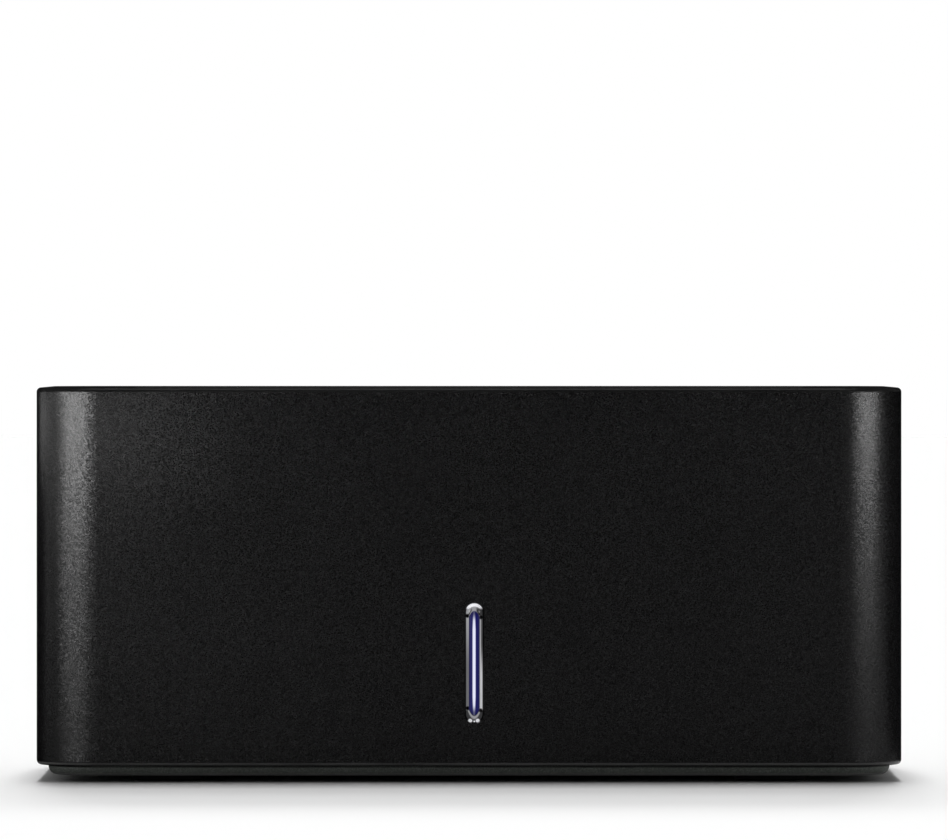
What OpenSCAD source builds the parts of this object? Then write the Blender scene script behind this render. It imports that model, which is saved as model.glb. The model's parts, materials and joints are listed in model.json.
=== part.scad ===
// Desktop docking station for one bare 3.5 inch or 2.5 inch drive, in millimetres.
// The origin is on the desk under the middle of the housing. +X is to the right and +Y to the rear.

/* [Housing] */
// Overall width
body_w = 132; // [118:1:150]
// Overall depth
body_d = 70; // [69:1:90]
// Overall height, from the desk to the top face
body_h = 60; // [54:1:75]
// Radius of the upright corners
corner_r = 9.5; // [8.5:0.5:12]
// Thickness of the upright walls
wall = 2.2; // [2:0.1:2.6]
// Thickness of the top
top_wall = 2.2; // [1.8:0.1:3]
// Rounding of the housing's top and bottom edges
edge_r = 0.7; // [0.3:0.1:1]
// Diameter of the corner posts that take the base screws
post_d = 6.4; // [6:0.1:7]
// Gap between a corner post and the walls
post_gap = 3; // [2.6:0.1:3.4]
// Thickness of the webs that tie the posts to the walls
web_t = 1.6; // [1.2:0.1:2.4]

/* [Base and feet] */
// Height of the base below the housing
base_drop = 1.5; // [1.2:0.1:2.5]
// Distance from the housing's sides to the base's edge
base_inset = 1.8; // [1.2:0.1:2]
// Rounding under the base's edge
base_edge_r = 1.3; // [0.5:0.1:2]
// Thickness of the base's floor
base_floor = 2; // [1.7:0.1:2.6]
// Height of the lip that locates the base in the housing
lip_h = 3; // [2:0.5:3.5]
// Thickness of that lip
lip_t = 1.4; // [1:0.1:2]
// Play between the lip and the housing
lip_play = 0.15; // [0.05:0.05:0.3]
// Diameter of a foot
foot_d = 11; // [8:0.5:13]
// Height of a foot below the base
foot_proud = 1; // [0.6:0.1:2]
// Depth of the recess that a foot is stuck into
foot_sink = 0.8; // [0.4:0.1:1]
// Distance from the housing's side to a foot's centre
foot_inset_x = 20; // [18:1:30]
// Distance from the housing's front or rear to a foot's centre
foot_inset_y = 12; // [11:1:16]
// Length of a vent slot in the base
vent_l = 16; // [8:1:18]
// Width of a vent slot
vent_w = 2; // [1:0.1:3]
// Distance from one vent slot to the next
vent_pitch = 5; // [4:0.5:6]
// Number of vent slots in a row
vent_count = 11; // [3:2:11]

/* [Drive bay] */
// Width of a 3.5 inch drive
drive_w = 101.6; // [100:0.1:102]
// Thickness of a 3.5 inch drive
drive_t = 26.1; // [20:0.1:26.5]
// Width of a 2.5 inch drive
small_drive_w = 69.85; // [68:0.05:71]
// Play beside the drive, on each side
side_play = 0.8; // [0.5:0.1:1]
// Play across the drive's thickness
thick_play = 1.1; // [0.8:0.1:1.5]
// Depth of the bay below the housing's top
bay_depth = 41.4; // [38:0.1:42]
// Thickness of the bay's walls
bay_wall = 1.6; // [1.2:0.1:2]
// Gap between the housing's front wall and the bay
front_gap = 5.4; // [5.2:0.1:6]
// Bevel round the mouth of the bay
mouth_bevel = 0.6; // [0.2:0.1:1]

/* [Flaps and hinge] */
// Thickness of a flap
flap_t = 1.8; // [1.4:0.1:2.2]
// Depth of a closed flap below the housing's top
flap_sink = 0.4; // [0.2:0.1:0.6]
// Gap beside a flap
flap_gap = 0.4; // [0.3:0.1:0.6]
// Height of the ribs under a flap
rib_h = 2; // [1:0.1:2.2]
// Thickness of those ribs
rib_t = 1.2; // [0.8:0.1:2]
// Diameter of the hinge rod
rod_d = 2; // [1.6:0.1:2.2]
// Radius of the knuckles on the rod
knuckle_r = 2.2; // [2:0.1:2.6]
// Width of a knuckle
knuckle_w = 5; // [3:0.5:6]
// Radial clearance of a knuckle on the rod
rod_play = 0.05; // [0.03:0.01:0.08]
// Clearance round the hinge
hinge_gap = 0.3; // [0.25:0.05:0.5]
// Thickness of the clips that hold the rod
clip_t = 0.6; // [0.4:0.1:0.8]

/* [Flap springs] */
// Diameter of the spring wire
wire_d = 0.5; // [0.4:0.05:0.5]
// Full turns in a coil
coil_turns = 7; // [3:1:8]
// Distance from one turn to the next
coil_pitch = 1; // [0.95:0.05:1.2]
// Clearance between the coil and the rod
coil_play = 0.35; // [0.2:0.05:0.4]
// Length of the leg that bears on the bay's wall
fixed_leg = 9; // [5:0.5:12]
// Length of the leg that lifts the flap
flap_leg = 10; // [7:0.5:14]

/* [Board] */
// Width of the board
board_w = 92; // [86:1:100]
// Sideways shift of the board's centre
board_shift = -2; // [-4:1:4]
// Thickness of the board
board_t = 1.6; // [1:0.1:2]
// Height of the standoffs under the board
standoff_h = 5; // [4.5:0.1:5.5]
// Diameter of those standoffs
standoff_d = 5.2; // [4.5:0.1:6]
// Distance from the board's edges to its screws
board_screw_inset = 4; // [3.5:0.5:6]
// Width of the tongue that carries the light to the front
tongue_w = 12; // [8:1:20]
// Gap between the board and the rear panel
board_gap = 0.6; // [0.4:0.1:1]

/* [Drive connector] */
// Offset of the connector from the drive's centre line
sata_offset = 20.68; // [18:0.01:21]
// Height of the connector's middle above the drive's underside
sata_rise = 3.5; // [3.4:0.1:4]
// Width of the connector
sata_w = 38.6; // [36:0.1:40]
// Thickness of the connector
sata_t = 6; // [5:0.1:6.4]
// Height of the connector above the bay's floor
sata_stand = 6; // [4:0.1:8]
// Depth of its contact slots
sata_slot_depth = 6; // [5:0.1:8]
// Width of its contact slots
sata_slot_w = 1.6; // [1.3:0.1:1.8]
// Distance from one contact to the next
contact_pitch = 1.27; // [1.2:0.01:1.27]

/* [Rear ports] */
// Depth of the recess round the ports
recess_depth = 2.4; // [2:0.1:3]
// Width of that recess
recess_w = 68; // [64:1:76]
// Distance of the switch and the power jack from the data port
port_spread = 23; // [20:1:24]
// Width of the data port
usb_w = 12.1; // [11.8:0.1:13]
// Height of the data port
usb_h = 12.9; // [12.6:0.1:13.5]
// Length of the data port
usb_l = 17.8; // [15:0.1:18]
// Height of the power jack's axis above the board
jack_rise = 6.5; // [6:0.1:7]
// Bore of the power jack
jack_bore = 6.3; // [5.6:0.1:6.6]
// Diameter of the power jack's centre pin
jack_pin_d = 2.1; // [1.9:0.1:2.5]
// Play of a port in its cut-out
port_play = 0.2; // [0.1:0.05:0.3]

/* [Switch] */
// Width of the switch body
switch_w = 13.6; // [13.2:0.1:15]
// Height of the switch body
switch_h = 9.2; // [9:0.1:10.5]
// Depth of the switch body behind the panel
switch_depth = 10; // [8:0.1:10]
// Thickness of the switch's frame on the panel
frame_t = 1.2; // [1:0.1:1.4]
// Width of the rocker
rocker_w = 10.8; // [9:0.1:11]
// Tilt of the rocker to either side
rocker_tilt = 8; // [4:1:9]
// Radial clearance of the rocker's pivots
pivot_play = 0.05; // [0.03:0.01:0.08]

/* [Light pipe] */
// Width of the light window
pipe_w = 2.8; // [2:0.1:4]
// Height of the light window
pipe_h = 18.2; // [14:0.1:20]
// Sideways shift of the window from the middle
pipe_x = 0.8; // [-4:0.1:4]
// Height of the window's middle above the desk
pipe_z = 18.2; // [17:0.1:24]
// How far the window's rounded face stands out
pipe_proud = 0.3; // [0:0.1:0.5]
// Play of the light pipe in the housing
pipe_play = 0.1; // [0.05:0.05:0.2]

/* [Hidden] */
$fn = 64;
// Length by which a cut runs past the faces that it opens
past = 1;
// Play of a screw's shank in its pilot hole, and of a rod in its seat
shank_play = 0.02;

// Heights
base_z = foot_proud;
body_z = base_z + base_drop;
floor_z = base_z + base_floor;
ceiling_z = body_h - top_wall;
board_z = floor_z + standoff_h;
board_top = board_z + board_t;
bay_z = body_h - bay_depth;

// Front, rear and inner faces
front_y = -body_d / 2;
rear_y = body_d / 2;
panel_out = rear_y - recess_depth;
panel_in = panel_out - wall;
cavity_w = body_w - 2 * wall;
cavity_d = body_d - 2 * wall;
cavity_r = corner_r - wall;

// Hinge, flaps and bay, from the front to the rear
bay_front_out = front_y + wall + front_gap;
bay_front_in = bay_front_out + bay_wall;
axis_y = bay_front_in + hinge_gap + knuckle_r;
axis_z = ceiling_z - hinge_gap - knuckle_r;
flap_top = body_h - flap_sink;
flap_under = flap_top - flap_t;
mouth_front = axis_y + (flap_top - axis_z) + hinge_gap;
mouth_rear = mouth_front + drive_t + thick_play;
bay_rear_out = mouth_rear + bay_wall;
bay_w = drive_w + 2 * side_play;
bay_out_w = bay_w + 2 * bay_wall;
flap_front = mouth_front + hinge_gap;
// A flap's rear edge swings past the bay's rear wall with the hinge's clearance
flap_rear = axis_y + sqrt(pow(mouth_rear - hinge_gap - axis_y, 2) - pow(flap_top - axis_z, 2));
split_x = -bay_w / 2 + small_drive_w + 2 * side_play + flap_gap / 2;
wide_span = [-bay_w / 2 + flap_gap, split_x - flap_gap / 2];
narrow_span = [split_x + flap_gap / 2, bay_w / 2 - flap_gap];
rod_r = rod_d / 2;

// Lugs that carry the rod's middle, and the knuckles on either side of them
lug_w = 2;
lug_r = knuckle_r - 0.1;
wide_knuckles = [wide_span[0], split_x - lug_w / 2 - flap_gap - knuckle_w];
narrow_knuckles = [split_x + lug_w / 2 + flap_gap, narrow_span[1] - knuckle_w];
arm_reach = 14;
arm_root = 1.4;
rib_clear = 5;
coil_gap = 1;
coil_r = rod_r + coil_play + wire_d / 2;

// Corner posts and base screws
post_x = body_w / 2 - wall - post_gap - post_d / 2;
post_y = body_d / 2 - wall - post_gap - post_d / 2;
corners = [for (x = [-1, 1], y = [-1, 1]) [x, y]];
base_boss_d = 9;
base_boss_h = 2.5;
screw_seat = base_z + 2.2;
base_screw_d = 3;
// A post ends under the bay, and its screw ends inside it
post_clear = 1;
post_top = bay_z - bay_wall - post_clear;
screw_end = 2.8;
base_screw_l = post_top - screw_end - screw_seat;
base_head_d = 5.6;
base_head_h = 1.8;
head_play = 0.3;
vent_bar = 6;

// Ears on the bay's front and rear, and the bosses that they hang from
ear_clear = 0.3;
ear_reach = front_gap / 2;
ear_d = front_gap - 2 * ear_clear;
ear_t = 2;
ear_drop = 7.8;
ear_z = ceiling_z - ear_drop;
ear_inset = 11;
ear_x = bay_w / 2 - ear_inset;
ear_ys = [bay_front_out - ear_reach, bay_rear_out + ear_reach];
ears = [for (x = [-ear_x, ear_x], y = ear_ys) [x, y]];
boss_d = 4.6;
small_screw_d = 2;
small_screw_l = 5;
small_head_d = 4;
small_head_h = 1.4;

// Board outline and what stands on it
sata_x = -sata_offset;
sata_y = mouth_rear - thick_play / 2 - sata_rise;
sata_top = bay_z + sata_stand;
sata_play = 0.5;
// Reach of the board in front of the drive connector's middle
board_lead = 9.5;
board_front = sata_y - board_lead;
board_rear = panel_in - board_gap;
board_sides = [board_shift - board_w / 2, board_shift + board_w / 2];
board_screw_at = [
    for (x = [board_sides[0] + board_screw_inset, board_sides[1] - board_screw_inset])
        for (y = [board_front + board_screw_inset, board_rear - board_screw_inset]) [x, y]
];

// Low parts on the board under the bay: width, depth and height, and place of each
chip_step = 8.5;
bridge_size = [7, 7, 1];
bridge_x = 13;
bridge_lag = 0.5;
bridge_at = [bridge_x, sata_y - bridge_lag];
firmware_size = [4, 5, 1.4];
firmware_at = bridge_at + [chip_step, 0];
crystal_size = [3.2, 5, 1.2];
crystal_at = bridge_at - [chip_step, 0];
crystal_r = 0.8;
chip_bevel = 0.3;

// Tall parts on the board behind the bay, in rows from the board's rear edge
row_inset = 5;
row_step = 8;
coil_w = 6.2;
coil_h = 3;
coil_base_h = 1;
coil_edge = 0.3;
can_d = 6.3;
can_h = 5.4;
can_edge = 0.5;
can_gap = 4;

// Drive connector: the power slot is to the left of the data slot
power_pins = 15;
data_pins = 7;
slot_end = 1.45;
key_gap = 2.4;
power_slot_l = (power_pins - 1) * contact_pitch + 2 * slot_end;
data_slot_l = (data_pins - 1) * contact_pitch + 2 * slot_end;
slots_l = power_slot_l + key_gap + data_slot_l;
key_l = 0.9;
key_rise = 0.9;
sata_bevel = 0.8;
contact_w = 0.8;
contact_t = 0.3;
contact_low = 0.6;

// Rear ports
recess_z = [board_top - 1, board_top + usb_h + 1.4];
recess_r = 2;
pad_t = 1.6;
port_face = panel_out - port_play;
jack_x = port_spread;
jack_z = board_top + jack_rise;
jack_w = 9;
jack_h = 11;
jack_l = 12;
jack_nose_d = 8;
jack_bore_l = 9.5;
jack_pin_l = 8.5;
jack_tip = 0.4;
usb_wall = 0.95;
usb_back = 1;
// Half outline of the data port's opening: half width and height above its sill
usb_house = [[4.45, 0], [4.45, 5.6], [2.95, 7.2], [2.95, usb_h - 2 * usb_wall]];
usb_tongue_depth = 9.5;
// Width, thickness and height above the sill of the two contact tongues
usb_tongue = [5.6, 3.2, 2.2];
usb_blade = [4.6, 1.2, usb_h - 2 * usb_wall - 2.2];
usb_tongue_back = 0.8;
usb_blade_back = 1.8;
usb_contact_w = 1;
usb_blade_contact_w = 0.5;
usb_contact_t = 0.2;
usb_corner_r = 0.6;

// Switch
switch_x = -port_spread;
switch_z = (recess_z[0] + recess_z[1]) / 2;
frame_rim = 1;
frame_wall = 0.75;
rocker_h = switch_h - 2 * (frame_wall + port_play);
pivot_d = 1.6;
pivot_y = panel_out - 1.4;
pivot_l = switch_h - 0.6;
rocker_rise = frame_t + 1.5;
rocker_dip = 0.8;
rocker_root = 2.2;
rocker_side = 0.6;
rocker_well = 4;
tab_w = 2.8;
tab_t = 0.6;
tab_l = 3.5;
tab_spread = 3.6;
lead_d = 1.4;
lead_bend = 2.2;
lead_stub = 1;

// Light pipe and its light
pipe_r = pipe_w / 2;
dome_y = front_y - pipe_proud + pipe_r;
flange_t = 1.5;
flange_rim = 1.8;
flange_w = pipe_w + 2 * flange_rim;
flange_y = front_y + wall + flange_t;
bar_w = 2.4;
bar_d = 2.4;
led_size = [3.4, 2.6, 1.9];
led_lens_d = 2.1;
led_lens_h = 0.4;
led_gap = 0.3;
led_y = flange_y + led_gap + led_size[1] / 2;

// Plain shapes

// Rectangle with round corners, centred
module rounded_rect(w, d, r) {
    square([w - 2 * r, d], center = true);
    square([w, d - 2 * r], center = true);
    for (c = corners) translate([c[0] * (w / 2 - r), c[1] * (d / 2 - r)]) circle(r);
}

// Rectangle from the axis outwards, with its two outer corners rounded
module rim_profile(reach, h, low_r, high_r) {
    translate([0, low_r]) square([reach, h - low_r - high_r]);
    intersection() {
        square([reach, h]);
        union() {
            if (low_r > 0) {
                square([reach - low_r, low_r]);
                translate([reach - low_r, low_r]) circle(low_r);
            }
            if (high_r > 0) {
                translate([0, h - high_r]) square([reach - high_r, high_r]);
                translate([reach - high_r, h - high_r]) circle(high_r);
            }
        }
    }
}

// Box with round upright corners and rounded bottom and top edges
module soft_box(w, d, z0, z1, r, low_r, high_r) {
    h = z1 - z0;
    cx = w / 2 - r;
    cy = d / 2 - r;
    translate([-cx, -cy, z0]) cube([2 * cx, 2 * cy, h]);
    translate([0, 0, z0]) for (side = [0 : 3]) {
        across = side % 2 == 0 ? cx : cy;
        along = side % 2 == 0 ? cy : cx;
        rotate(90 * side) {
            translate([across, along, 0]) rotate_extrude(angle = 90) rim_profile(r, h, low_r, high_r);
            translate([across, along, 0]) rotate([90, 0, 0])
                linear_extrude(2 * along) rim_profile(r, h, low_r, high_r);
        }
    }
}

// Profile in Y and Z, drawn out along X
module along_x(x0, x1) {
    translate([x0, 0, 0]) rotate([90, 0, 90]) linear_extrude(x1 - x0) children();
}

// Profile in X and Z, drawn out along Y
module along_y(y0, y1) {
    translate([0, y1, 0]) rotate([90, 0, 0]) linear_extrude(y1 - y0) children();
}

// Block whose four sides lean out by the same amount from its bottom to its top
module taper_block(w, d, h, lean) {
    intersection() {
        along_x(-w, w) polygon([[-d / 2, 0], [d / 2, 0], [d / 2 + lean, h], [-d / 2 - lean, h]]);
        along_y(-d, d) polygon([[-w / 2, 0], [w / 2, 0], [w / 2 + lean, h], [-w / 2 - lean, h]]);
    }
}

// Upright slot with round ends, in the plane of its profile
module stadium(w, h) {
    square([w, h - w], center = true);
    for (s = [-1, 1]) translate([0, s * (h - w) / 2]) circle(w / 2);
}

// Round bar along X through the hinge's axis
module on_axis(x0, x1, r) {
    translate([x0, axis_y, axis_z]) rotate([0, 90, 0]) cylinder(r = r, h = x1 - x0);
}

// Pan-head screw that points up, with its seat at the origin
module screw_up(shank_d, shank_l, head_d, head_h) {
    cross_w = head_d * 0.16;
    cross_l = head_d * 0.55;
    cylinder(d = shank_d - 2 * shank_play, h = shank_l);
    difference() {
        translate([0, 0, -head_h]) rotate_extrude() rim_profile(head_d / 2, head_h, head_h / 2, 0);
        for (a = [0, 90]) translate([0, 0, -head_h - past]) rotate(a)
            linear_extrude(head_h / 2 + past) square([cross_l, cross_w], center = true);
    }
}

// Housing

module cavity() {
    translate([0, 0, body_z - past]) linear_extrude(ceiling_z - body_z + past)
        rounded_rect(cavity_w, cavity_d, cavity_r);
}

// Post in each corner with a web to either wall, clear of the base's lip
module corner_posts() {
    post_z = floor_z + base_boss_h;
    web_z = floor_z + lip_h + lip_t;
    web_x = body_w / 2 - wall / 2 - post_x;
    web_y = body_d / 2 - wall / 2 - post_y;
    for (c = corners) {
        translate([c[0] * post_x, c[1] * post_y, post_z]) cylinder(d = post_d, h = post_top - post_z);
        translate([c[0] * (post_x + web_x / 2), c[1] * post_y, (web_z + post_top) / 2])
            cube([web_x, web_t, post_top - web_z], center = true);
        translate([c[0] * post_x, c[1] * (post_y + web_y / 2), (web_z + post_top) / 2])
            cube([web_t, web_y, post_top - web_z], center = true);
    }
}

module post_pilots() {
    for (c = corners) translate([c[0] * post_x, c[1] * post_y, screw_seat])
        cylinder(d = base_screw_d, h = base_screw_l);
}

module bay_bosses() {
    for (e = ears) translate([e[0], e[1], ear_z]) cylinder(d = boss_d, h = ear_drop + top_wall / 2);
}

module bay_boss_pilots() {
    for (e = ears) translate([e[0], e[1], ear_z - past])
        cylinder(d = small_screw_d, h = small_screw_l + past);
}

// Opening in the top, with a bevel that leads the drive in
module bay_mouth() {
    mouth_d = mouth_rear - mouth_front;
    bevel_h = mouth_bevel + past;
    translate([0, (mouth_front + mouth_rear) / 2, 0]) {
        translate([-bay_w / 2, -mouth_d / 2, ceiling_z - past]) cube([bay_w, mouth_d, top_wall + 2 * past]);
        translate([0, 0, body_h - mouth_bevel]) taper_block(bay_w, mouth_d, bevel_h, bevel_h);
    }
}

module pipe_window() {
    translate([pipe_x, 0, pipe_z]) along_y(front_y - past, front_y + wall + past)
        stadium(pipe_w + 2 * pipe_play, pipe_h + 2 * pipe_play);
}

// Thicker wall behind the recess, so that the recessed panel is as thick as the wall
module port_pad() {
    pad_w = recess_w + 2 * pad_t;
    translate([-pad_w / 2, panel_in, recess_z[0] - pad_t])
        cube([pad_w, rear_y - wall / 2 - panel_in, recess_z[1] - recess_z[0] + 2 * pad_t]);
}

module port_recess() {
    translate([0, 0, (recess_z[0] + recess_z[1]) / 2]) along_y(panel_out, rear_y + past)
        rounded_rect(recess_w, recess_z[1] - recess_z[0], recess_r);
}

module port_cutouts() {
    through = [panel_in - past, panel_out + past];
    translate([0, 0, board_top + usb_h / 2]) along_y(through[0], through[1])
        square([usb_w + 2 * port_play, usb_h + 2 * port_play], center = true);
    translate([jack_x, 0, jack_z]) along_y(through[0], through[1]) circle(d = jack_nose_d + 2 * port_play);
    translate([switch_x, 0, switch_z]) along_y(through[0], through[1])
        square([switch_w + port_play, switch_h + port_play], center = true);
}

module housing() {
    color("#1a1a1a") difference() {
        union() {
            difference() {
                soft_box(body_w, body_d, body_z, body_h, corner_r, edge_r, edge_r);
                cavity();
            }
            corner_posts();
            bay_bosses();
            port_pad();
        }
        bay_mouth();
        pipe_window();
        port_recess();
        port_cutouts();
        post_pilots();
        bay_boss_pilots();
    }
}

// Base, feet and screws

// Lip inside the housing, with a gap in front for the foot of the light pipe
module base_lip() {
    lip_w = cavity_w - 2 * lip_play;
    lip_d = cavity_d - 2 * lip_play;
    lip_r = cavity_r - lip_play;
    translate([0, 0, body_z]) linear_extrude(floor_z - body_z) rounded_rect(lip_w, lip_d, lip_r);
    translate([0, 0, floor_z]) linear_extrude(lip_h) difference() {
        rounded_rect(lip_w, lip_d, lip_r);
        rounded_rect(lip_w - 2 * lip_t, lip_d - 2 * lip_t, lip_r - lip_t);
        translate([pipe_x, front_y + wall]) square([flange_w + 2 * lip_t, 4 * lip_t], center = true);
    }
}

module base_vents() {
    for (i = [0 : vent_count - 1], y = [-1, 1])
        translate([(i - (vent_count - 1) / 2) * vent_pitch, y * (vent_l + vent_bar) / 2, base_z - past])
            linear_extrude(base_floor + 2 * past) stadium(vent_w, vent_l);
}

module base_plate() {
    edge = min(base_edge_r, base_drop - 0.1);
    color("#232422") difference() {
        union() {
            soft_box(body_w - 2 * base_inset, body_d - 2 * base_inset, base_z, body_z,
                corner_r - base_inset, edge, 0);
            base_lip();
            for (c = corners) translate([c[0] * post_x, c[1] * post_y, base_z + base_drop / 2])
                cylinder(d = base_boss_d, h = floor_z + base_boss_h - base_z - base_drop / 2);
            for (p = board_screw_at) translate([p[0], p[1], base_z + base_drop / 2])
                cylinder(d = standoff_d, h = board_z - base_z - base_drop / 2);
        }
        base_vents();
        for (c = corners) {
            translate([c[0] * post_x, c[1] * post_y, base_z - past])
                cylinder(d = base_head_d + 2 * head_play, h = screw_seat - base_z + past);
            translate([c[0] * post_x, c[1] * post_y, base_z])
                cylinder(d = base_screw_d + 2 * head_play, h = floor_z + base_boss_h + past);
            translate([c[0] * (body_w / 2 - foot_inset_x), c[1] * (body_d / 2 - foot_inset_y), base_z - past])
                cylinder(d = foot_d + 2 * shank_play, h = foot_sink + past);
        }
        for (p = board_screw_at) translate([p[0], p[1], board_z - small_screw_l])
            cylinder(d = small_screw_d, h = small_screw_l + past);
    }
}

// Rubber disc with a soft lower edge, in its recess under the base
module foot(side, end) {
    foot_h = foot_proud + foot_sink;
    color("#101010") translate([side * (body_w / 2 - foot_inset_x), end * (body_d / 2 - foot_inset_y), 0])
        rotate_extrude() rim_profile(foot_d / 2, foot_h, foot_proud / 2, 0);
}

module base_screws() {
    color("#8d8d8d") for (c = corners) translate([c[0] * post_x, c[1] * post_y, screw_seat])
        screw_up(base_screw_d, base_screw_l, base_head_d, base_head_h);
}

// Drive bay

module bay_tub() {
    tub_y = (bay_front_out + bay_rear_out) / 2;
    tub_d = bay_rear_out - bay_front_out;
    hollow_d = mouth_rear - bay_front_in;
    hollow_y = (mouth_rear + bay_front_in) / 2;
    difference() {
        translate([0, tub_y, bay_z - bay_wall]) linear_extrude(ceiling_z - bay_z + bay_wall)
            rounded_rect(bay_out_w, tub_d, bay_wall);
        translate([0, hollow_y, bay_z]) linear_extrude(ceiling_z - bay_z + past)
            square([bay_w, hollow_d], center = true);
    }
}

// Lug on the front wall that holds the rod between the two flaps
module rod_lug() {
    along_x(split_x - lug_w / 2, split_x + lug_w / 2) translate([axis_y, axis_z]) {
        circle(lug_r);
        translate([bay_front_in - axis_y - bay_wall / 2, -lug_r])
            square([axis_y - bay_front_in + bay_wall / 2, 2 * lug_r]);
    }
}

// Low ribs that keep the drive's foot clear of the open flaps
module foot_ribs() {
    rib_top = axis_z - (flap_rear - axis_y) - 3 * hinge_gap;
    rib_rear = mouth_front - hinge_gap;
    root = bay_wall / 2;
    for (i = [-3 : 2 : 3]) translate([i * bay_w / 8 - rib_t, bay_front_in - root, bay_z - root])
        cube([2 * rib_t, rib_rear - bay_front_in + root, rib_top - bay_z + root]);
}

module bay_ears() {
    root = ear_reach + bay_wall / 2;
    for (e = ears) translate([e[0], e[1], ear_z - ear_t]) linear_extrude(ear_t) {
        circle(d = ear_d);
        translate([0, -sign(e[1] - bay_front_in) * root / 2]) square([ear_d, root], center = true);
    }
}

module drive_bay() {
    color("#1d1d1e") difference() {
        union() {
            bay_tub();
            rod_lug();
            foot_ribs();
            bay_ears();
        }
        on_axis(-bay_out_w / 2 - past, bay_out_w / 2 + past, rod_r + shank_play);
        translate([sata_x - sata_w / 2 - sata_play, sata_y - sata_t / 2 - sata_play, bay_z - bay_wall - past])
            cube([sata_w + 2 * sata_play, sata_t + 2 * sata_play, bay_wall + 2 * past]);
        for (e = ears) translate([e[0], e[1], ear_z - ear_t - past])
            cylinder(d = small_screw_d + 2 * head_play, h = ear_t + 2 * past);
    }
}

module bay_screws() {
    color("#8d8d8d") for (e = ears) translate([e[0], e[1], ear_z - ear_t])
        screw_up(small_screw_d, small_screw_l, small_head_d, small_head_h);
}

// Flaps, rod and springs

module hinge_rod() {
    rod_end = bay_out_w / 2 + 2 * clip_t;
    color("#b5b7ba") on_axis(-rod_end, rod_end, rod_r);
}

module rod_clips() {
    color("#77787a") for (x = [-bay_out_w / 2 - clip_t, bay_out_w / 2]) difference() {
        on_axis(x, x + clip_t, 2 * rod_r);
        on_axis(x - past, x + clip_t + past, rod_r + shank_play);
    }
}

// Arm from a knuckle on the rod, under the edge of the mouth and up to the flap
module flap_arm() {
    under = flap_under - axis_z;
    start = flap_front - axis_y;
    translate([axis_y, axis_z]) {
        circle(knuckle_r);
        polygon([[0, -arm_root], [arm_reach, under - rib_h / 2], [arm_reach, under + flap_t / 2],
            [start, under + flap_t / 2], [start, knuckle_r], [0, knuckle_r]]);
    }
}

module flap_plate() {
    edge = flap_t * 0.3;
    translate([flap_front, flap_under]) rim_profile(flap_rear - flap_front, flap_t, edge, edge);
}

module flap(span, knuckles, ribs) {
    color("#202021") difference() {
        union() {
            along_x(span[0], span[1]) flap_plate();
            for (x = knuckles) along_x(x, x + knuckle_w) flap_arm();
            for (i = [1 : ribs]) {
                x = span[0] + (span[1] - span[0]) * i / (ribs + 1);
                translate([x - rib_t / 2, flap_front + rib_clear, flap_under - rib_h])
                    cube([rib_t, flap_rear - flap_front - rib_clear - flap_t, rib_h + flap_t / 2]);
            }
        }
        on_axis(span[0] - past, span[1] + past, rod_r + rod_play);
    }
}

// Centre line of a spring: up the bay's wall, round the rod, and out under the flap
wall_touch = bay_front_in - axis_y + wire_d / 2 + shank_play;
flap_touch = flap_under - axis_z - wire_d / 2 - shank_play;
coil_steps = 8;
leg_steps = 3;
function spring_line(x0) = [
    for (i = [0 : leg_steps - 1]) let (t = i / leg_steps)
        [x0, wall_touch * (1 - t) - coil_r * t, -fixed_leg * (1 - t)],
    for (i = [0 : (coil_turns + 0.25) * coil_steps]) let (a = 180 - 360 * i / coil_steps)
        [x0 + i / coil_steps * coil_pitch, coil_r * cos(a), coil_r * sin(a)],
    for (i = [1 : leg_steps]) let (t = i / leg_steps)
        [x0 + (coil_turns + 0.25) * coil_pitch, flap_leg * t, coil_r * (1 - t) + flap_touch * t]
];

function unit(v) = v / norm(v);
function tangent_at(line, i) = unit(line[min(i + 1, len(line) - 1)] - line[max(i - 1, 0)]);

// Ring of points round a line, square to it and turned from the X axis
function ring_at(line, i, r, sides) =
    let (t = tangent_at(line, i), b = unit([1, 0, 0] - t[0] * t), n = cross(b, t))
    [for (k = [0 : sides - 1]) line[i] + r * (cos(360 * k / sides) * b + sin(360 * k / sides) * n)];

module wire(line, r, sides) {
    last = len(line) - 1;
    points = [for (i = [0 : last]) each ring_at(line, i, r, sides)];
    skin = [for (i = [0 : last - 1], k = [0 : sides - 1]) let (a = i * sides, n = (k + 1) % sides)
        each [[a + k, a + sides + k, a + n], [a + n, a + sides + k, a + sides + n]]];
    caps = [for (k = [1 : sides - 2]) each [
        [0, k, k + 1], [last * sides, last * sides + k + 1, last * sides + k]]];
    polyhedron(points, concat(skin, caps));
}

// Least gap of a wound wire to itself, between points that are over half a turn apart
function least_gap(line) = min([
    for (i = [0 : len(line) - 1], j = [i + coil_steps / 2 : 1 : len(line) - 1]) norm(line[i] - line[j])
]) - wire_d;
echo(least_gap_in_spring = least_gap(spring_line(0)));

module flap_spring(knuckle_x) {
    color("#c4c6c8") translate([0, axis_y, axis_z])
        wire(spring_line(knuckle_x + knuckle_w + coil_gap), wire_d / 2, 6);
}

// Board and what stands on it

module main_board() {
    tongue_y = flange_y + led_gap;
    color("#1f4d33") difference() {
        translate([0, 0, board_z]) linear_extrude(board_t) {
            translate([board_sides[0], board_front]) square([board_w, board_rear - board_front]);
            translate([pipe_x - tongue_w / 2, tongue_y]) square([tongue_w, board_front - tongue_y + past]);
        }
        for (p = board_screw_at) translate([p[0], p[1], board_z - past])
            cylinder(d = small_screw_d + 2 * head_play, h = board_t + 2 * past);
        for (c = corners) translate([c[0] * post_x, c[1] * post_y, board_z - past])
            cylinder(d = post_d + 2 * board_gap, h = board_t + 2 * past);
    }
}

module board_screws() {
    color("#8d8d8d") for (p = board_screw_at) translate([p[0], p[1], board_top]) mirror([0, 0, 1])
        screw_up(small_screw_d, small_screw_l, small_head_d, small_head_h);
}

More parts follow.
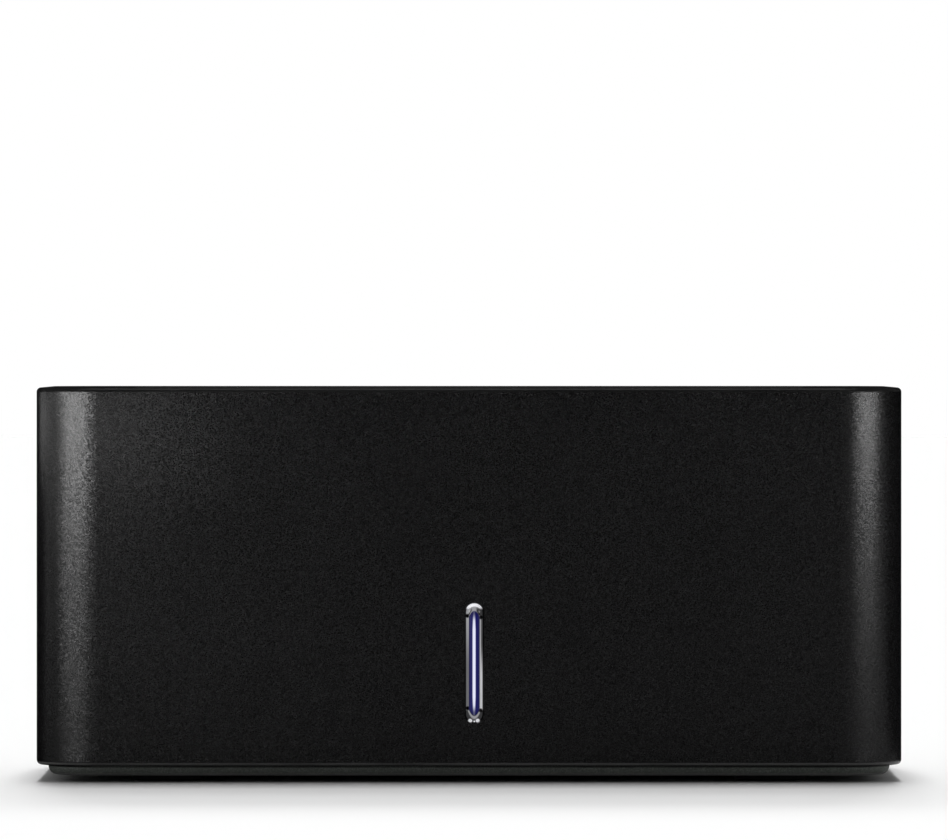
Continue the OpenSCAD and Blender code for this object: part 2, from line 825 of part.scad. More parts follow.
// Chip with a bevelled top, standing on the board
module chip(at, size) {
    plain_h = size[2] - chip_bevel;
    translate([at[0], at[1], board_top]) {
        linear_extrude(plain_h) square([size[0], size[1]], center = true);
        translate([0, 0, plain_h]) taper_block(size[0], size[1], chip_bevel, -chip_bevel / 2);
    }
}

module bridge_chip() {
    color("#151515") chip(bridge_at, bridge_size);
}

module firmware_chip() {
    color("#151515") chip(firmware_at, firmware_size);
}

module crystal() {
    color("#b9bbbd") translate([crystal_at[0], crystal_at[1], board_top])
        linear_extrude(crystal_size[2]) rounded_rect(crystal_size[0], crystal_size[1], crystal_r);
}

// Row of two along Y, from the board's rear edge forwards
module rear_row(x) {
    for (i = [0, 1]) translate([x, board_rear - row_inset - i * row_step, board_top]) children();
}

module power_inductors() {
    between = (usb_w / 2 + jack_x - jack_w / 2) / 2;
    color("#4a4a4c") rear_row(between) {
        linear_extrude(coil_base_h) square([coil_w, coil_w], center = true);
        cylinder(d = coil_w - 2 * coil_edge, h = coil_h);
    }
}

module capacitors() {
    color("#a7a9ad") rear_row(jack_x + jack_w / 2 + can_gap + can_d / 2)
        rotate_extrude() rim_profile(can_d / 2, can_h, 0, can_edge);
}

module status_led() {
    color("#e9ecf5") translate([pipe_x, led_y, board_top]) {
        linear_extrude(led_size[2] - led_lens_h) square([led_size[0], led_size[1]], center = true);
        cylinder(d = led_lens_d, h = led_size[2]);
    }
}

// Drive connector

module sata_slot(x, l, key_side) {
    translate([x, sata_y - sata_slot_w / 2, sata_top - sata_slot_depth]) {
        cube([l, sata_slot_w, sata_slot_depth + past]);
        translate([key_side * (l - key_l), 0, 0])
            cube([key_l, sata_slot_w + key_rise, sata_slot_depth + past]);
    }
}

module sata_receptacle() {
    slots_x = sata_x - slots_l / 2;
    plain_h = sata_top - sata_bevel - board_top;
    color("#141414") difference() {
        translate([sata_x, sata_y, board_top]) {
            translate([-sata_w / 2, -sata_t / 2, 0]) cube([sata_w, sata_t, plain_h]);
            translate([0, 0, plain_h]) taper_block(sata_w, sata_t, sata_bevel, -sata_bevel / 2);
        }
        sata_slot(slots_x, power_slot_l, 0);
        sata_slot(slots_x + power_slot_l + key_gap, data_slot_l, 1);
    }
}

// Row of contacts on the front wall of a slot
module contact_row(x, count) {
    for (i = [0 : count - 1])
        translate([x + slot_end + i * contact_pitch - contact_w / 2, sata_y - sata_slot_w / 2,
            sata_top - sata_slot_depth]) cube([contact_w, contact_t, sata_slot_depth - contact_low]);
}

module sata_contacts() {
    slots_x = sata_x - slots_l / 2;
    color("#d4a94e") {
        contact_row(slots_x, power_pins);
        contact_row(slots_x + power_slot_l + key_gap, data_pins);
    }
}

// Rear ports

module usb_outline(shrink) {
    right = [for (p = usb_house) [p[0] - shrink, p[1] + (p[1] > 0 ? -shrink : shrink)]];
    left = [for (i = [len(right) - 1 : -1 : 0]) [-right[i][0], right[i][1]]];
    polygon(concat(right, left));
}

module usb_shell() {
    back = port_face - usb_l;
    color("#c9cbcd") difference() {
        translate([0, 0, board_top + usb_h / 2]) along_y(back, port_face)
            rounded_rect(usb_w, usb_h, usb_corner_r);
        translate([0, 0, board_top + usb_wall]) along_y(back + usb_back, port_face + past) usb_outline(0);
    }
}

module usb_insulator() {
    back = port_face - usb_l + usb_back;
    color("#2a57b8") translate([0, 0, board_top + usb_wall]) {
        along_y(back, port_face - usb_tongue_depth) usb_outline(shank_play);
        along_y(back, port_face - usb_tongue_back)
            translate([-usb_tongue[0] / 2, usb_tongue[2]]) square([usb_tongue[0], usb_tongue[1]]);
        along_y(back, port_face - usb_blade_back)
            translate([-usb_blade[0] / 2, usb_blade[2]]) square([usb_blade[0], usb_blade[1]]);
    }
}

module usb_contacts() {
    back = port_face - usb_tongue_depth;
    color("#d4a94e") translate([0, 0, board_top + usb_wall]) {
        for (s = [-1, 1], z = [usb_tongue[2] - usb_contact_t, usb_tongue[2] + usb_tongue[1]])
            along_y(back, port_face - 2 * usb_tongue_back)
                translate([s * usb_tongue[0] / 4 - usb_contact_w / 2, z])
                    square([usb_contact_w, usb_contact_t]);
        for (i = [-2 : 2]) along_y(back, port_face - usb_blade_back - usb_tongue_back)
            translate([i * usb_blade[0] / 5.5 - usb_blade_contact_w / 2, usb_blade[2] - usb_contact_t])
                square([usb_blade_contact_w, usb_contact_t]);
    }
}

module dc_jack() {
    block_y = panel_in - port_play;
    color("#161616") difference() {
        union() {
            translate([jack_x - jack_w / 2, block_y - jack_l, board_top]) cube([jack_w, jack_l, jack_h]);
            translate([jack_x, 0, jack_z]) along_y(block_y - past, port_face) circle(d = jack_nose_d);
        }
        translate([jack_x, 0, jack_z])
            along_y(port_face - jack_bore_l, port_face + past) circle(d = jack_bore);
    }
}

module dc_jack_pin() {
    foot_y = port_face - jack_bore_l;
    color("#d0d2d4") translate([jack_x, foot_y, jack_z]) rotate([-90, 0, 0]) {
        cylinder(d = jack_pin_d, h = jack_pin_l);
        translate([0, 0, jack_pin_l]) cylinder(d1 = jack_pin_d, d2 = jack_pin_d - 2 * jack_tip, h = jack_tip);
    }
}

// Switch

module switch_frame() {
    back = panel_in - switch_depth;
    color("#141414") difference() {
        translate([switch_x, 0, switch_z]) {
            along_y(back, panel_out) square([switch_w, switch_h], center = true);
            along_y(panel_out, panel_out + frame_t)
                rounded_rect(switch_w + 2 * frame_rim, switch_h + 2 * frame_rim, frame_rim);
        }
        translate([switch_x, 0, switch_z]) along_y(panel_in - rocker_well, panel_out + frame_t + past)
            square([switch_w - 2 * frame_wall, switch_h - 2 * frame_wall], center = true);
        translate([switch_x, pivot_y, switch_z])
            cylinder(d = pivot_d + 2 * pivot_play, h = 2 * switch_h, center = true);
    }
}

// Rocker with a shallow dip in its face, tilted to the side that is pressed in
module switch_rocker() {
    half = rocker_w / 2;
    color("#1c1c1c") translate([switch_x, pivot_y, switch_z]) rotate(rocker_tilt) {
        linear_extrude(rocker_h, center = true) polygon([
            [-half, -rocker_side], [0, -rocker_root], [half, -rocker_side],
            [half, rocker_rise], [0, rocker_rise - rocker_dip], [-half, rocker_rise]]);
        cylinder(d = pivot_d, h = pivot_l, center = true);
    }
}

module switch_terminals() {
    back = panel_in - switch_depth;
    color("#c9b27a") for (s = [-1, 1]) translate([switch_x + s * tab_spread, 0, switch_z])
        along_y(back - tab_l, back) square([tab_w, tab_t], center = true);
}

// Insulated lead from each terminal, over a round bend and down to the board
module switch_leads() {
    end_y = panel_in - switch_depth - tab_l;
    color("#8c1d1d") for (s = [-1, 1]) translate([switch_x + s * tab_spread, end_y, switch_z]) {
        rotate([90, 0, 0]) cylinder(d = lead_d, h = lead_stub);
        translate([0, -lead_stub, -lead_bend]) rotate([90, 0, -90]) rotate_extrude(angle = 90)
            translate([lead_bend, 0]) circle(d = lead_d);
        translate([0, -lead_stub - lead_bend, board_top - switch_z])
            cylinder(d = lead_d, h = switch_z - lead_bend - board_top);
    }
}

// Light pipe

// Half outline of the window's rod: a straight flank and a round front
module pipe_profile() {
    intersection() {
        union() {
            translate([0, dome_y - flange_y]) square([pipe_r, flange_y - dome_y]);
            circle(pipe_r);
        }
        translate([0, dome_y - flange_y]) square([pipe_r, flange_y - dome_y + pipe_r]);
    }
}

module light_pipe() {
    run = pipe_h - pipe_w;
    bar_z = board_top + led_size[2] + led_gap;
    color("#dfe6ff") translate([pipe_x, 0, 0]) {
        translate([0, 0, pipe_z]) along_y(front_y + wall, flange_y)
            stadium(flange_w, pipe_h + 2 * flange_rim);
        for (s = [0, 1]) translate([0, dome_y, pipe_z]) rotate([0, 180 * s, 0]) translate([0, 0, run / 2])
            rotate([90, 0, 0]) rotate_extrude(angle = 180) pipe_profile();
        translate([0, dome_y, pipe_z - run / 2]) linear_extrude(run) for (s = [0, 1])
            mirror([s, 0]) mirror([0, 1]) pipe_profile();
        translate([-bar_w / 2, flange_y, bar_z]) cube([bar_w, bar_d, pipe_z + pipe_h / 2 - bar_z]);
    }
}

housing();
base_plate();
foot(-1, -1);  // foot_front_left
foot(1, -1);  // foot_front_right
foot(-1, 1);  // foot_rear_left
foot(1, 1);  // foot_rear_right
base_screws();
drive_bay();
bay_screws();
hinge_rod();
rod_clips();
flap(wide_span, wide_knuckles, 5);  // wide_flap
flap(narrow_span, narrow_knuckles, 2);  // narrow_flap
flap_spring(wide_knuckles[0]);  // wide_flap_spring
flap_spring(narrow_knuckles[0]);  // narrow_flap_spring
main_board();
board_screws();
sata_receptacle();
sata_contacts();
usb_shell();
usb_insulator();
usb_contacts();
dc_jack();
dc_jack_pin();
switch_frame();
switch_rocker();
switch_terminals();
switch_leads();
light_pipe();
status_led();
bridge_chip();
firmware_chip();
crystal();
power_inductors();
capacitors();
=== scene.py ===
"""Finishes, springs, leads, feet and stage of a desktop drive dock, in metres."""

import json
import math

import bpy
import numpy as np
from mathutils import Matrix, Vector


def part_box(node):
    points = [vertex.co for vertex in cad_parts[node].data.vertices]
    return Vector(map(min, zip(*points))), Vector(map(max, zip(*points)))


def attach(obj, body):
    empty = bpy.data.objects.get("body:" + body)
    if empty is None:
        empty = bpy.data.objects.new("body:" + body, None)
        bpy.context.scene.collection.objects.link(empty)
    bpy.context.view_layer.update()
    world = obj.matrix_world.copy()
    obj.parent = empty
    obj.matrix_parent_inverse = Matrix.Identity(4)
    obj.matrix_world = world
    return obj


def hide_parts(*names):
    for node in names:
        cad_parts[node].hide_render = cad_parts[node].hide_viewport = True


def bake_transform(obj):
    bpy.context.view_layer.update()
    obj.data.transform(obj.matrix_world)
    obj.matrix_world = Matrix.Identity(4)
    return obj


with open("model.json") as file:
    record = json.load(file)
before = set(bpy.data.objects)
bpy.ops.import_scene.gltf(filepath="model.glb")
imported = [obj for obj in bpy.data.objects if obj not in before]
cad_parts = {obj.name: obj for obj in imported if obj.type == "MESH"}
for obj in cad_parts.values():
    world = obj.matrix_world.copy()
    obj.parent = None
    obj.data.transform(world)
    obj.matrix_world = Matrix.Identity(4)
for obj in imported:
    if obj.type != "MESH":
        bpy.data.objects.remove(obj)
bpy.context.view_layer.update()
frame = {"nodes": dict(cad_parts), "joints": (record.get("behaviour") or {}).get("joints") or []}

bl_info = {
    "name": "Drive dock finish",
    "version": (1, 0, 0),
    "blender": (4, 5, 0),
    "location": "3D View > Sidebar > Dock",
    "description": "Finishes, springs, leads, feet and stage of a desktop drive dock",
    "category": "Object",
}

MM = 0.001
IMAGE_WIDTH = 948
SENSOR_WIDTH_MM = 36.0

NODES = frame["nodes"]
JOINTS = {joint["name"]: joint for joint in frame["joints"]}


def corners_of(node):
    """Lowest and highest corner of a node at rest, as arrays."""
    low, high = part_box(node)
    return np.array(low), np.array(high)


def middle_of(node):
    """Middle of a node's box at rest."""
    low, high = corners_of(node)
    return (low + high) / 2


FRONT = float(corners_of("housing")[0][1])


# Sizes and colours that a user may change

class DockFinish(bpy.types.PropertyGroup):
    """Sizes and colours of the dock's finishes and of its fine pieces"""

    plastic_colour: bpy.props.FloatVectorProperty(
        name="Plastic", description="Colour of the black mouldings", subtype="COLOR",
        size=3, min=0.0, max=1.0, default=(0.0055, 0.0055, 0.0057))
    base_colour: bpy.props.FloatVectorProperty(
        name="Base", description="Colour of the base moulding", subtype="COLOR",
        size=3, min=0.0, max=1.0, default=(0.085, 0.094, 0.085))
    glow_colour: bpy.props.FloatVectorProperty(
        name="Glow", description="Colour of the light strip's core", subtype="COLOR",
        size=3, min=0.0, max=1.0, default=(0.003, 0.003, 0.066))
    streak_colour: bpy.props.FloatVectorProperty(
        name="Streak", description="Colour of the bright streak in the light strip", subtype="COLOR",
        size=3, min=0.0, max=1.0, default=(0.80, 0.82, 1.0))
    grain_size: bpy.props.FloatProperty(
        name="Grain size", description="Size of the grain in the mouldings",
        subtype="DISTANCE", unit="LENGTH", min=0.0, default=0.15 * MM)
    wire_diameter: bpy.props.FloatProperty(
        name="Spring wire", description="Diameter of the flap springs' wire",
        subtype="DISTANCE", unit="LENGTH", min=0.0, default=0.5 * MM)
    coil_radius: bpy.props.FloatProperty(
        name="Coil radius", description="Radius of a flap spring's coil at the wire's middle",
        subtype="DISTANCE", unit="LENGTH", min=0.0, default=1.6 * MM)
    coil_turns: bpy.props.FloatProperty(
        name="Coil turns", description="Turns of a flap spring, ending a quarter turn on",
        min=1.0, default=7.25)
    lead_diameter: bpy.props.FloatProperty(
        name="Lead", description="Diameter of a switch lead's insulation",
        subtype="DISTANCE", unit="LENGTH", min=0.0, default=1.4 * MM)
    lead_bend: bpy.props.FloatProperty(
        name="Lead bend", description="Radius of a switch lead's bend",
        subtype="DISTANCE", unit="LENGTH", min=0.0, default=2.2 * MM)
    foot_dip: bpy.props.FloatProperty(
        name="Foot dip", description="Depth of the dip in the middle of a foot",
        subtype="DISTANCE", unit="LENGTH", min=0.0, default=0.2 * MM)


class DockStage(bpy.types.PropertyGroup):
    """Camera, floor and lamps"""

    camera_distance: bpy.props.FloatProperty(
        name="Camera distance", description="Distance of the camera from the dock's front",
        subtype="DISTANCE", unit="LENGTH", min=0.1, default=1.540)
    camera_height: bpy.props.FloatProperty(
        name="Camera height", description="Height of the camera above the desk",
        subtype="DISTANCE", unit="LENGTH", min=0.0, default=0.066)
    camera_pitch: bpy.props.FloatProperty(
        name="Camera pitch", description="Angle of the camera below the horizon",
        subtype="ANGLE", unit="ROTATION", default=math.radians(0.406))
    camera_yaw: bpy.props.FloatProperty(
        name="Camera yaw", description="Turn of the camera to the right",
        subtype="ANGLE", unit="ROTATION", default=math.radians(0.0282))
    focal_pixels: bpy.props.FloatProperty(
        name="Focal length", description="Focal length in pixels of the image",
        min=1.0, default=10151.0)
    floor_colour: bpy.props.FloatVectorProperty(
        name="Floor", description="Colour of the floor", subtype="COLOR",
        size=3, min=0.0, max=1.0, default=(0.94, 0.94, 0.94))
    light_level: bpy.props.FloatProperty(
        name="Light level", description="Brightness of a white floor under all the lamps",
        min=0.0, default=1.0)
    world_strength: bpy.props.FloatProperty(
        name="Room light", description="Strength of the even light from the room",
        min=0.0, default=0.25)
    gloss_strength: bpy.props.FloatProperty(
        name="Room in gloss", description="Strength of the room where gloss shows it",
        min=0.0, default=0.08)
    edge_strength: bpy.props.FloatProperty(
        name="Edge light", description="Strength of the lamp that only the gloss of the top edge shows",
        min=0.0, default=0.75)


# Meshes from arrays

def skin(name, rings):
    """Closed piece from rings of points, given as an array of ring, point and axis.

    Neighbouring rings are joined by four-sided faces, and a flat face closes each end ring.
    """
    count, sides = rings.shape[:2]
    row = np.arange(count - 1)[:, None] * sides
    here = np.arange(sides)[None, :]
    after = (here + 1) % sides
    walls = np.stack([row + here, row + after, row + sides + after, row + sides + here], axis=-1)
    first_cap = np.arange(sides)[::-1]
    last_cap = (count - 1) * sides + np.arange(sides)
    loops = np.concatenate([walls.ravel(), first_cap, last_cap]).astype(np.int32)
    totals = np.concatenate([np.full((count - 1) * sides, 4), [sides, sides]]).astype(np.int32)
    return mesh_object(name, rings.reshape(-1, 3), loops, totals)


def sheet(name, points):
    """Open piece from a grid of points, given as an array of row, column and axis."""
    rows, columns = points.shape[:2]
    row = np.arange(rows - 1)[:, None] * columns
    here = np.arange(columns - 1)[None, :]
    faces = np.stack(
        [row + here, row + here + 1, row + columns + here + 1, row + columns + here], axis=-1)
    totals = np.full((rows - 1) * (columns - 1), 4, np.int32)
    return mesh_object(name, points.reshape(-1, 3), faces.ravel().astype(np.int32), totals)


def mesh_object(name, points, loops, totals):
    """Object at the origin whose mesh has these points and these faces, shaded smooth."""
    mesh = bpy.data.meshes.new(name)
    mesh.vertices.add(len(points))
    mesh.vertices.foreach_set("co", np.ascontiguousarray(points, np.float32).ravel())
    mesh.loops.add(len(loops))
    mesh.loops.foreach_set("vertex_index", loops)
    mesh.polygons.add(len(totals))
    starts = np.concatenate([[0], np.cumsum(totals)[:-1]]).astype(np.int32)
    mesh.polygons.foreach_set("loop_start", starts)
    mesh.polygons.foreach_set("use_smooth", totals == 4)
    mesh.update(calc_edges=True)
    mesh.validate()
    made = bpy.data.objects.new(name, mesh)
    bpy.context.scene.collection.objects.link(made)
    return made


def tube_rings(path, radius, sides):
    """Rings of a round tube: each is square to the path and starts from the X axis.

    A ring's point is the path's point plus the radius times the cosine of its angle along the X
    axis, less its part along the path, and times the sine along the direction square to both.
    """
    along = np.gradient(path, axis=0)
    along /= np.linalg.norm(along, axis=1, keepdims=True)
    across = np.array([1.0, 0.0, 0.0]) - along[:, :1] * along
    across /= np.linalg.norm(across, axis=1, keepdims=True)
    square = np.cross(along, across)
    angle = np.linspace(0.0, 2.0 * np.pi, sides, endpoint=False)[None, :, None]
    radius = np.broadcast_to(radius, len(path))[:, None, None]
    ring = np.cos(angle) * across[:, None, :] + np.sin(angle) * square[:, None, :]
    return path[:, None, :] + radius * ring


def turned_rings(radii, heights, centre, sides):
    """Rings of a piece turned about an upright axis: radius and height of each ring."""
    angle = np.linspace(0.0, 2.0 * np.pi, sides, endpoint=False)[None, :]
    radii, heights = np.asarray(radii)[:, None], np.asarray(heights)[:, None]
    x = centre[0] + radii * np.cos(angle)
    y = centre[1] + radii * np.sin(angle)
    return np.stack([x, y, np.broadcast_to(heights, x.shape)], axis=-1)


def straight(start, end, count):
    """Points on a straight line, without its end."""
    share = np.linspace(0.0, 1.0, count, endpoint=False)[:, None]
    return np.asarray(start) * (1.0 - share) + np.asarray(end) * share


# Shader building blocks

def shade(tree, kind, inputs=None, **settings):
    """New shader node with these settings, and with values or links on its inputs."""
    made = tree.nodes.new(kind)
    for key, value in settings.items():
        setattr(made, key, value)
    for key, value in (inputs or {}).items():
        if isinstance(value, bpy.types.NodeSocket):
            tree.links.new(value, made.inputs[key])
        else:
            made.inputs[key].default_value = value
    return made


def maths(tree, operation, *values, clamp=False):
    """Result of a sum on values or sockets."""
    made = shade(tree, "ShaderNodeMath", dict(enumerate(values)), operation=operation, use_clamp=clamp)
    return made.outputs[0]


def step(tree, value, low, high, at_low=0.0, at_high=1.0):
    """Value that eases from at_low to at_high while the input goes from low to high."""
    limits = {"From Min": low, "From Max": high, "To Min": at_low, "To Max": at_high, "Value": value}
    made = shade(tree, "ShaderNodeMapRange", limits, interpolation_type="SMOOTHSTEP")
    return made.outputs["Result"]


def mixed(tree, share, first, second):
    """Colour between two colours or sockets."""
    made = tree.nodes.new("ShaderNodeMix")
    made.data_type = "RGBA"
    for socket, value in ((made.inputs[0], share), (made.inputs[6], first), (made.inputs[7], second)):
        if isinstance(value, bpy.types.NodeSocket):
            tree.links.new(value, socket)
        else:
            socket.default_value = value
    return made.outputs[2]


def object_place(tree):
    """Place on the piece, in metres."""
    return tree.nodes.new("ShaderNodeTexCoord").outputs["Object"]


def split_axes(tree, vector):
    """X, Y and Z of a vector."""
    return tuple(shade(tree, "ShaderNodeSeparateXYZ", {0: vector}).outputs)


def object_axes(tree):
    """X, Y and Z on the piece, in metres."""
    return split_axes(tree, object_place(tree))


def facing_axes(tree):
    """X, Y and Z of the direction in which the surface looks."""
    return split_axes(tree, tree.nodes.new("ShaderNodeNewGeometry").outputs["Normal"])


def across_and_up(tree, node):
    """Places across and up a node's front from its middle, in millimetres."""
    middle = middle_of(node)
    x, _, z = object_axes(tree)
    across = maths(tree, "DIVIDE", maths(tree, "SUBTRACT", x, float(middle[0])), MM)
    up = maths(tree, "DIVIDE", maths(tree, "SUBTRACT", z, float(middle[2])), MM)
    return across, up


def noise(tree, size, detail=2.0):
    """Noise whose spots have this size in metres."""
    inputs = {"Vector": object_place(tree), "Scale": 1.0 / size, "Detail": detail}
    return shade(tree, "ShaderNodeTexNoise", inputs).outputs["Fac"]


def opaque(colour):
    """Colour with full opacity."""
    return (*colour, 1.0)


def brightened(colour, factor):
    """Colour times a factor, with full opacity."""
    return opaque([min(1.0, part * factor) for part in colour[:3]])


def new_group(name, inputs, outputs):
    """Empty shader group with these inputs and their values, and these outputs."""
    tree = bpy.data.node_groups.new(name, "ShaderNodeTree")
    for label, value in inputs.items():
        socket = tree.interface.new_socket(label, in_out="INPUT", socket_type="NodeSocketFloat")
        socket.default_value = value
    for label in outputs:
        tree.interface.new_socket(label, in_out="OUTPUT", socket_type="NodeSocketFloat")
    return tree, tree.nodes.new("NodeGroupInput").outputs, tree.nodes.new("NodeGroupOutput").inputs


def moulded_grain_group():
    """Fine grain of a moulded surface, in small cells that each lean their own way.

    A point's height is the product of its cell's own direction and its place in the cell, so each
    cell is a small slope. A tone drifts slowly, and a speckle gives each cell its own shade.
    """
    tree, given, result = new_group("Moulded grain", {"Scale": 5000.0}, ("Height", "Tone", "Speckle"))
    place = object_place(tree)
    cell = shade(tree, "ShaderNodeTexVoronoi", {"Vector": place, "Scale": given["Scale"]}).outputs
    lean = shade(tree, "ShaderNodeVectorMath", {0: cell["Color"], 1: (0.5, 0.5, 0.5)}, operation="SUBTRACT")
    inside = shade(tree, "ShaderNodeVectorMath", {0: place, 1: cell["Position"]}, operation="SUBTRACT")
    slope = shade(tree, "ShaderNodeVectorMath", {0: lean.outputs[0], 1: inside.outputs[0]},
                  operation="DOT_PRODUCT")
    drift = shade(tree, "ShaderNodeTexNoise", {"Vector": place, "Scale": 60.0, "Detail": 3.0})
    own_shade = split_axes(tree, cell["Color"])[0]
    tree.links.new(maths(tree, "MULTIPLY", slope.outputs["Value"], given["Scale"]), result["Height"])
    tree.links.new(step(tree, drift.outputs["Fac"], 0.3, 0.7), result["Tone"])
    tree.links.new(maths(tree, "POWER", own_shade, 2.0), result["Speckle"])
    return tree


def settled_dust_group():
    """Dust that lies on faces that look up, in soft patches."""
    tree, given, result = new_group("Settled dust", {"Amount": 0.3}, ("Mask",))
    upward = step(tree, facing_axes(tree)[2], 0.5, 0.98)
    patches = step(tree, noise(tree, 9 * MM, 4.0), 0.42, 0.72)
    specks = step(tree, noise(tree, 0.5 * MM, 1.0), 0.6, 0.78)
    cover = maths(tree, "MULTIPLY_ADD", specks, 0.6, maths(tree, "MULTIPLY", patches, 0.4))
    mask = maths(tree, "MULTIPLY", maths(tree, "MULTIPLY", cover, upward), given["Amount"], clamp=True)
    tree.links.new(mask, result["Mask"])
    return tree


def drawn_metal_group():
    """Streaks of drawn or rolled metal along X, and a faint tarnish."""
    tree, given, result = new_group("Drawn metal", {"Scale": 2500.0}, ("Streak", "Tarnish"))
    place = object_place(tree)
    along = shade(tree, "ShaderNodeMapping", {"Vector": place, "Scale": (0.06, 1.0, 1.0)}).outputs[0]
    streak = shade(tree, "ShaderNodeTexNoise", {"Vector": along, "Scale": given["Scale"], "Detail": 3.0})
    tarnish = shade(tree, "ShaderNodeTexNoise", {"Vector": place, "Scale": 420.0, "Detail": 4.0})
    tree.links.new(step(tree, streak.outputs["Fac"], 0.3, 0.7), result["Streak"])
    tree.links.new(step(tree, tarnish.outputs["Fac"], 0.45, 0.75), result["Tarnish"])
    return tree


GROUP_MAKERS = {
    "Moulded grain": moulded_grain_group,
    "Settled dust": settled_dust_group,
    "Drawn metal": drawn_metal_group,
}


def placed_group(tree, name, value):
    """Outputs of a shared group, built at its first use, with its one input set."""
    group = bpy.data.node_groups.get(name) or GROUP_MAKERS[name]()
    made = tree.nodes.new("ShaderNodeGroup")
    made.node_tree = group
    made.inputs[0].default_value = value
    return made.outputs


def new_finish(name, **sockets):
    """Material whose Principled shader has these plain values, with its tree and that shader."""
    material = bpy.data.materials.new(name)
    material.use_nodes = True
    tree = material.node_tree
    shader = tree.nodes["Principled BSDF"]
    for socket, value in sockets.items():
        shader.inputs[socket.replace("_", " ")].default_value = value
    return material, tree, shader


def bump(tree, shader, height, depth, strength=1.0):
    """Relief on a shader from a height of 0 to 1 that stands for a depth in metres."""
    inputs = {"Height": height, "Distance": depth, "Strength": strength}
    made = shade(tree, "ShaderNodeBump", inputs)
    tree.links.new(made.outputs["Normal"], shader.inputs["Normal"])


# Finishes

DUST_COLOUR = (0.16, 0.155, 0.145, 1.0)


def moulded_plastic(name, colour, roughness, grain, relief, dust, specular=0.15, speckle=0.2, painted_bands=()):
    """Moulded plastic: fine grain, a tone that drifts, and a little dust on faces that look up.

    Each painted band is a height, half the width of the band there, and the band's grey: a pale band is a
    painted highlight along an edge, a dark one painted shade.
    """
    material, tree, shader = new_finish(name, Specular_IOR_Level=specular)
    cells = placed_group(tree, "Moulded grain", 1.0 / grain)
    dusty = placed_group(tree, "Settled dust", dust)["Mask"]
    dark, pale = brightened(colour, 1.0 - speckle), brightened(colour, 1.0 + 2.0 * speckle)
    toned = mixed(tree, cells["Tone"], pale, brightened(pale, 1.15))
    speckled = mixed(tree, cells["Speckle"], dark, toned)
    # Bands of painted highlight or painted shade, laid by height and made patchy by the tone
    for height, half, grey in painted_bands:
        off = maths(tree, "ABSOLUTE", maths(tree, "SUBTRACT", object_axes(tree)[2], height))
        band = step(tree, off, half * 0.4, half, 1.0, 0.0)
        patchy_painted_band = maths(tree, "MULTIPLY", band, step(tree, cells["Tone"], 0.0, 0.6, 0.6, 1.0))
        speckled = mixed(tree, patchy_painted_band, speckled, (grey, grey, grey, 1.0))
    covered = mixed(tree, dusty, speckled, DUST_COLOUR)
    tree.links.new(covered, shader.inputs["Base Color"])
    worn = step(tree, cells["Tone"], 0.0, 1.0, roughness * 0.97, roughness * 1.03)
    dull = maths(tree, "MULTIPLY_ADD", dusty, 0.3, worn)
    tree.links.new(dull, shader.inputs["Roughness"])
    bump(tree, shader, cells["Height"], relief)
    return material


def rubber(name):
    """Matt rubber: a fine pitted skin with a bloom that pales it in patches."""
    material, tree, shader = new_finish(name, Specular_IOR_Level=0.3)
    cells = placed_group(tree, "Moulded grain", 1.0 / (0.35 * MM))
    bloom = step(tree, noise(tree, 2.5 * MM, 3.0), 0.45, 0.75)
    tree.links.new(mixed(tree, bloom, (0.010, 0.010, 0.010, 1.0), (0.022, 0.022, 0.021, 1.0)),
                   shader.inputs["Base Color"])
    tree.links.new(step(tree, bloom, 0.0, 1.0, 0.78, 0.9), shader.inputs["Roughness"])
    bump(tree, shader, cells["Height"], 0.05 * MM)
    return material


def bare_metal(name, colour, roughness, streaks, tarnish=0.5):
    """Drawn or plated metal: streaks in its gloss, and a tarnish that darkens it in spots."""
    material, tree, shader = new_finish(name, Metallic=1.0)
    drawn = placed_group(tree, "Drawn metal", streaks)
    dulled = maths(tree, "MULTIPLY", drawn["Tarnish"], tarnish)
    bright = mixed(tree, drawn["Streak"], brightened(colour, 0.93), brightened(colour, 1.05))
    tree.links.new(mixed(tree, dulled, bright, brightened(colour, 0.62)), shader.inputs["Base Color"])
    rough = step(tree, drawn["Streak"], 0.0, 1.0, roughness * 0.8, roughness * 1.25)
    tree.links.new(maths(tree, "MULTIPLY_ADD", dulled, 0.2, rough), shader.inputs["Roughness"])
    bump(tree, shader, drawn["Streak"], 0.004 * MM)
    return material


def board_laminate(name):
    """Solder mask over copper: tracks show as paler lines, and the woven glass shows faintly."""
    material, tree, shader = new_finish(name, Specular_IOR_Level=0.5, Coat_Weight=0.3, Coat_Roughness=0.15)
    x, y, _ = object_axes(tree)
    thread = 2.0 * math.pi / (0.5 * MM)
    place = object_place(tree)
    cells = shade(tree, "ShaderNodeTexVoronoi", {"Vector": place, "Scale": 260.0, "Randomness": 0.55},
                  distance="CHEBYCHEV", feature="F1")
    tracks = maths(tree, "FRACT", maths(tree, "MULTIPLY", cells.outputs["Distance"], 7.0))
    track = step(tree, maths(tree, "ABSOLUTE", maths(tree, "SUBTRACT", tracks, 0.5)), 0.30, 0.36)
    weave_x = maths(tree, "SINE", maths(tree, "MULTIPLY", x, thread))
    weave_y = maths(tree, "SINE", maths(tree, "MULTIPLY", y, thread))
    weave = step(tree, maths(tree, "MULTIPLY", weave_x, weave_y), -1.0, 1.0)
    ground = mixed(tree, weave, (0.010, 0.066, 0.030, 1.0), (0.013, 0.080, 0.037, 1.0))
    tree.links.new(mixed(tree, track, ground, (0.030, 0.150, 0.066, 1.0)), shader.inputs["Base Color"])
    tree.links.new(step(tree, weave, 0.0, 1.0, 0.30, 0.42), shader.inputs["Roughness"])
    bump(tree, shader, track, 0.03 * MM)
    return material


def chip_resin(name):
    """Black moulded resin with a sandy skin."""
    return moulded_plastic(name, (0.011, 0.011, 0.012), roughness=0.62, grain=0.12 * MM, relief=0.01 * MM,
                           dust=0.1, specular=0.4)


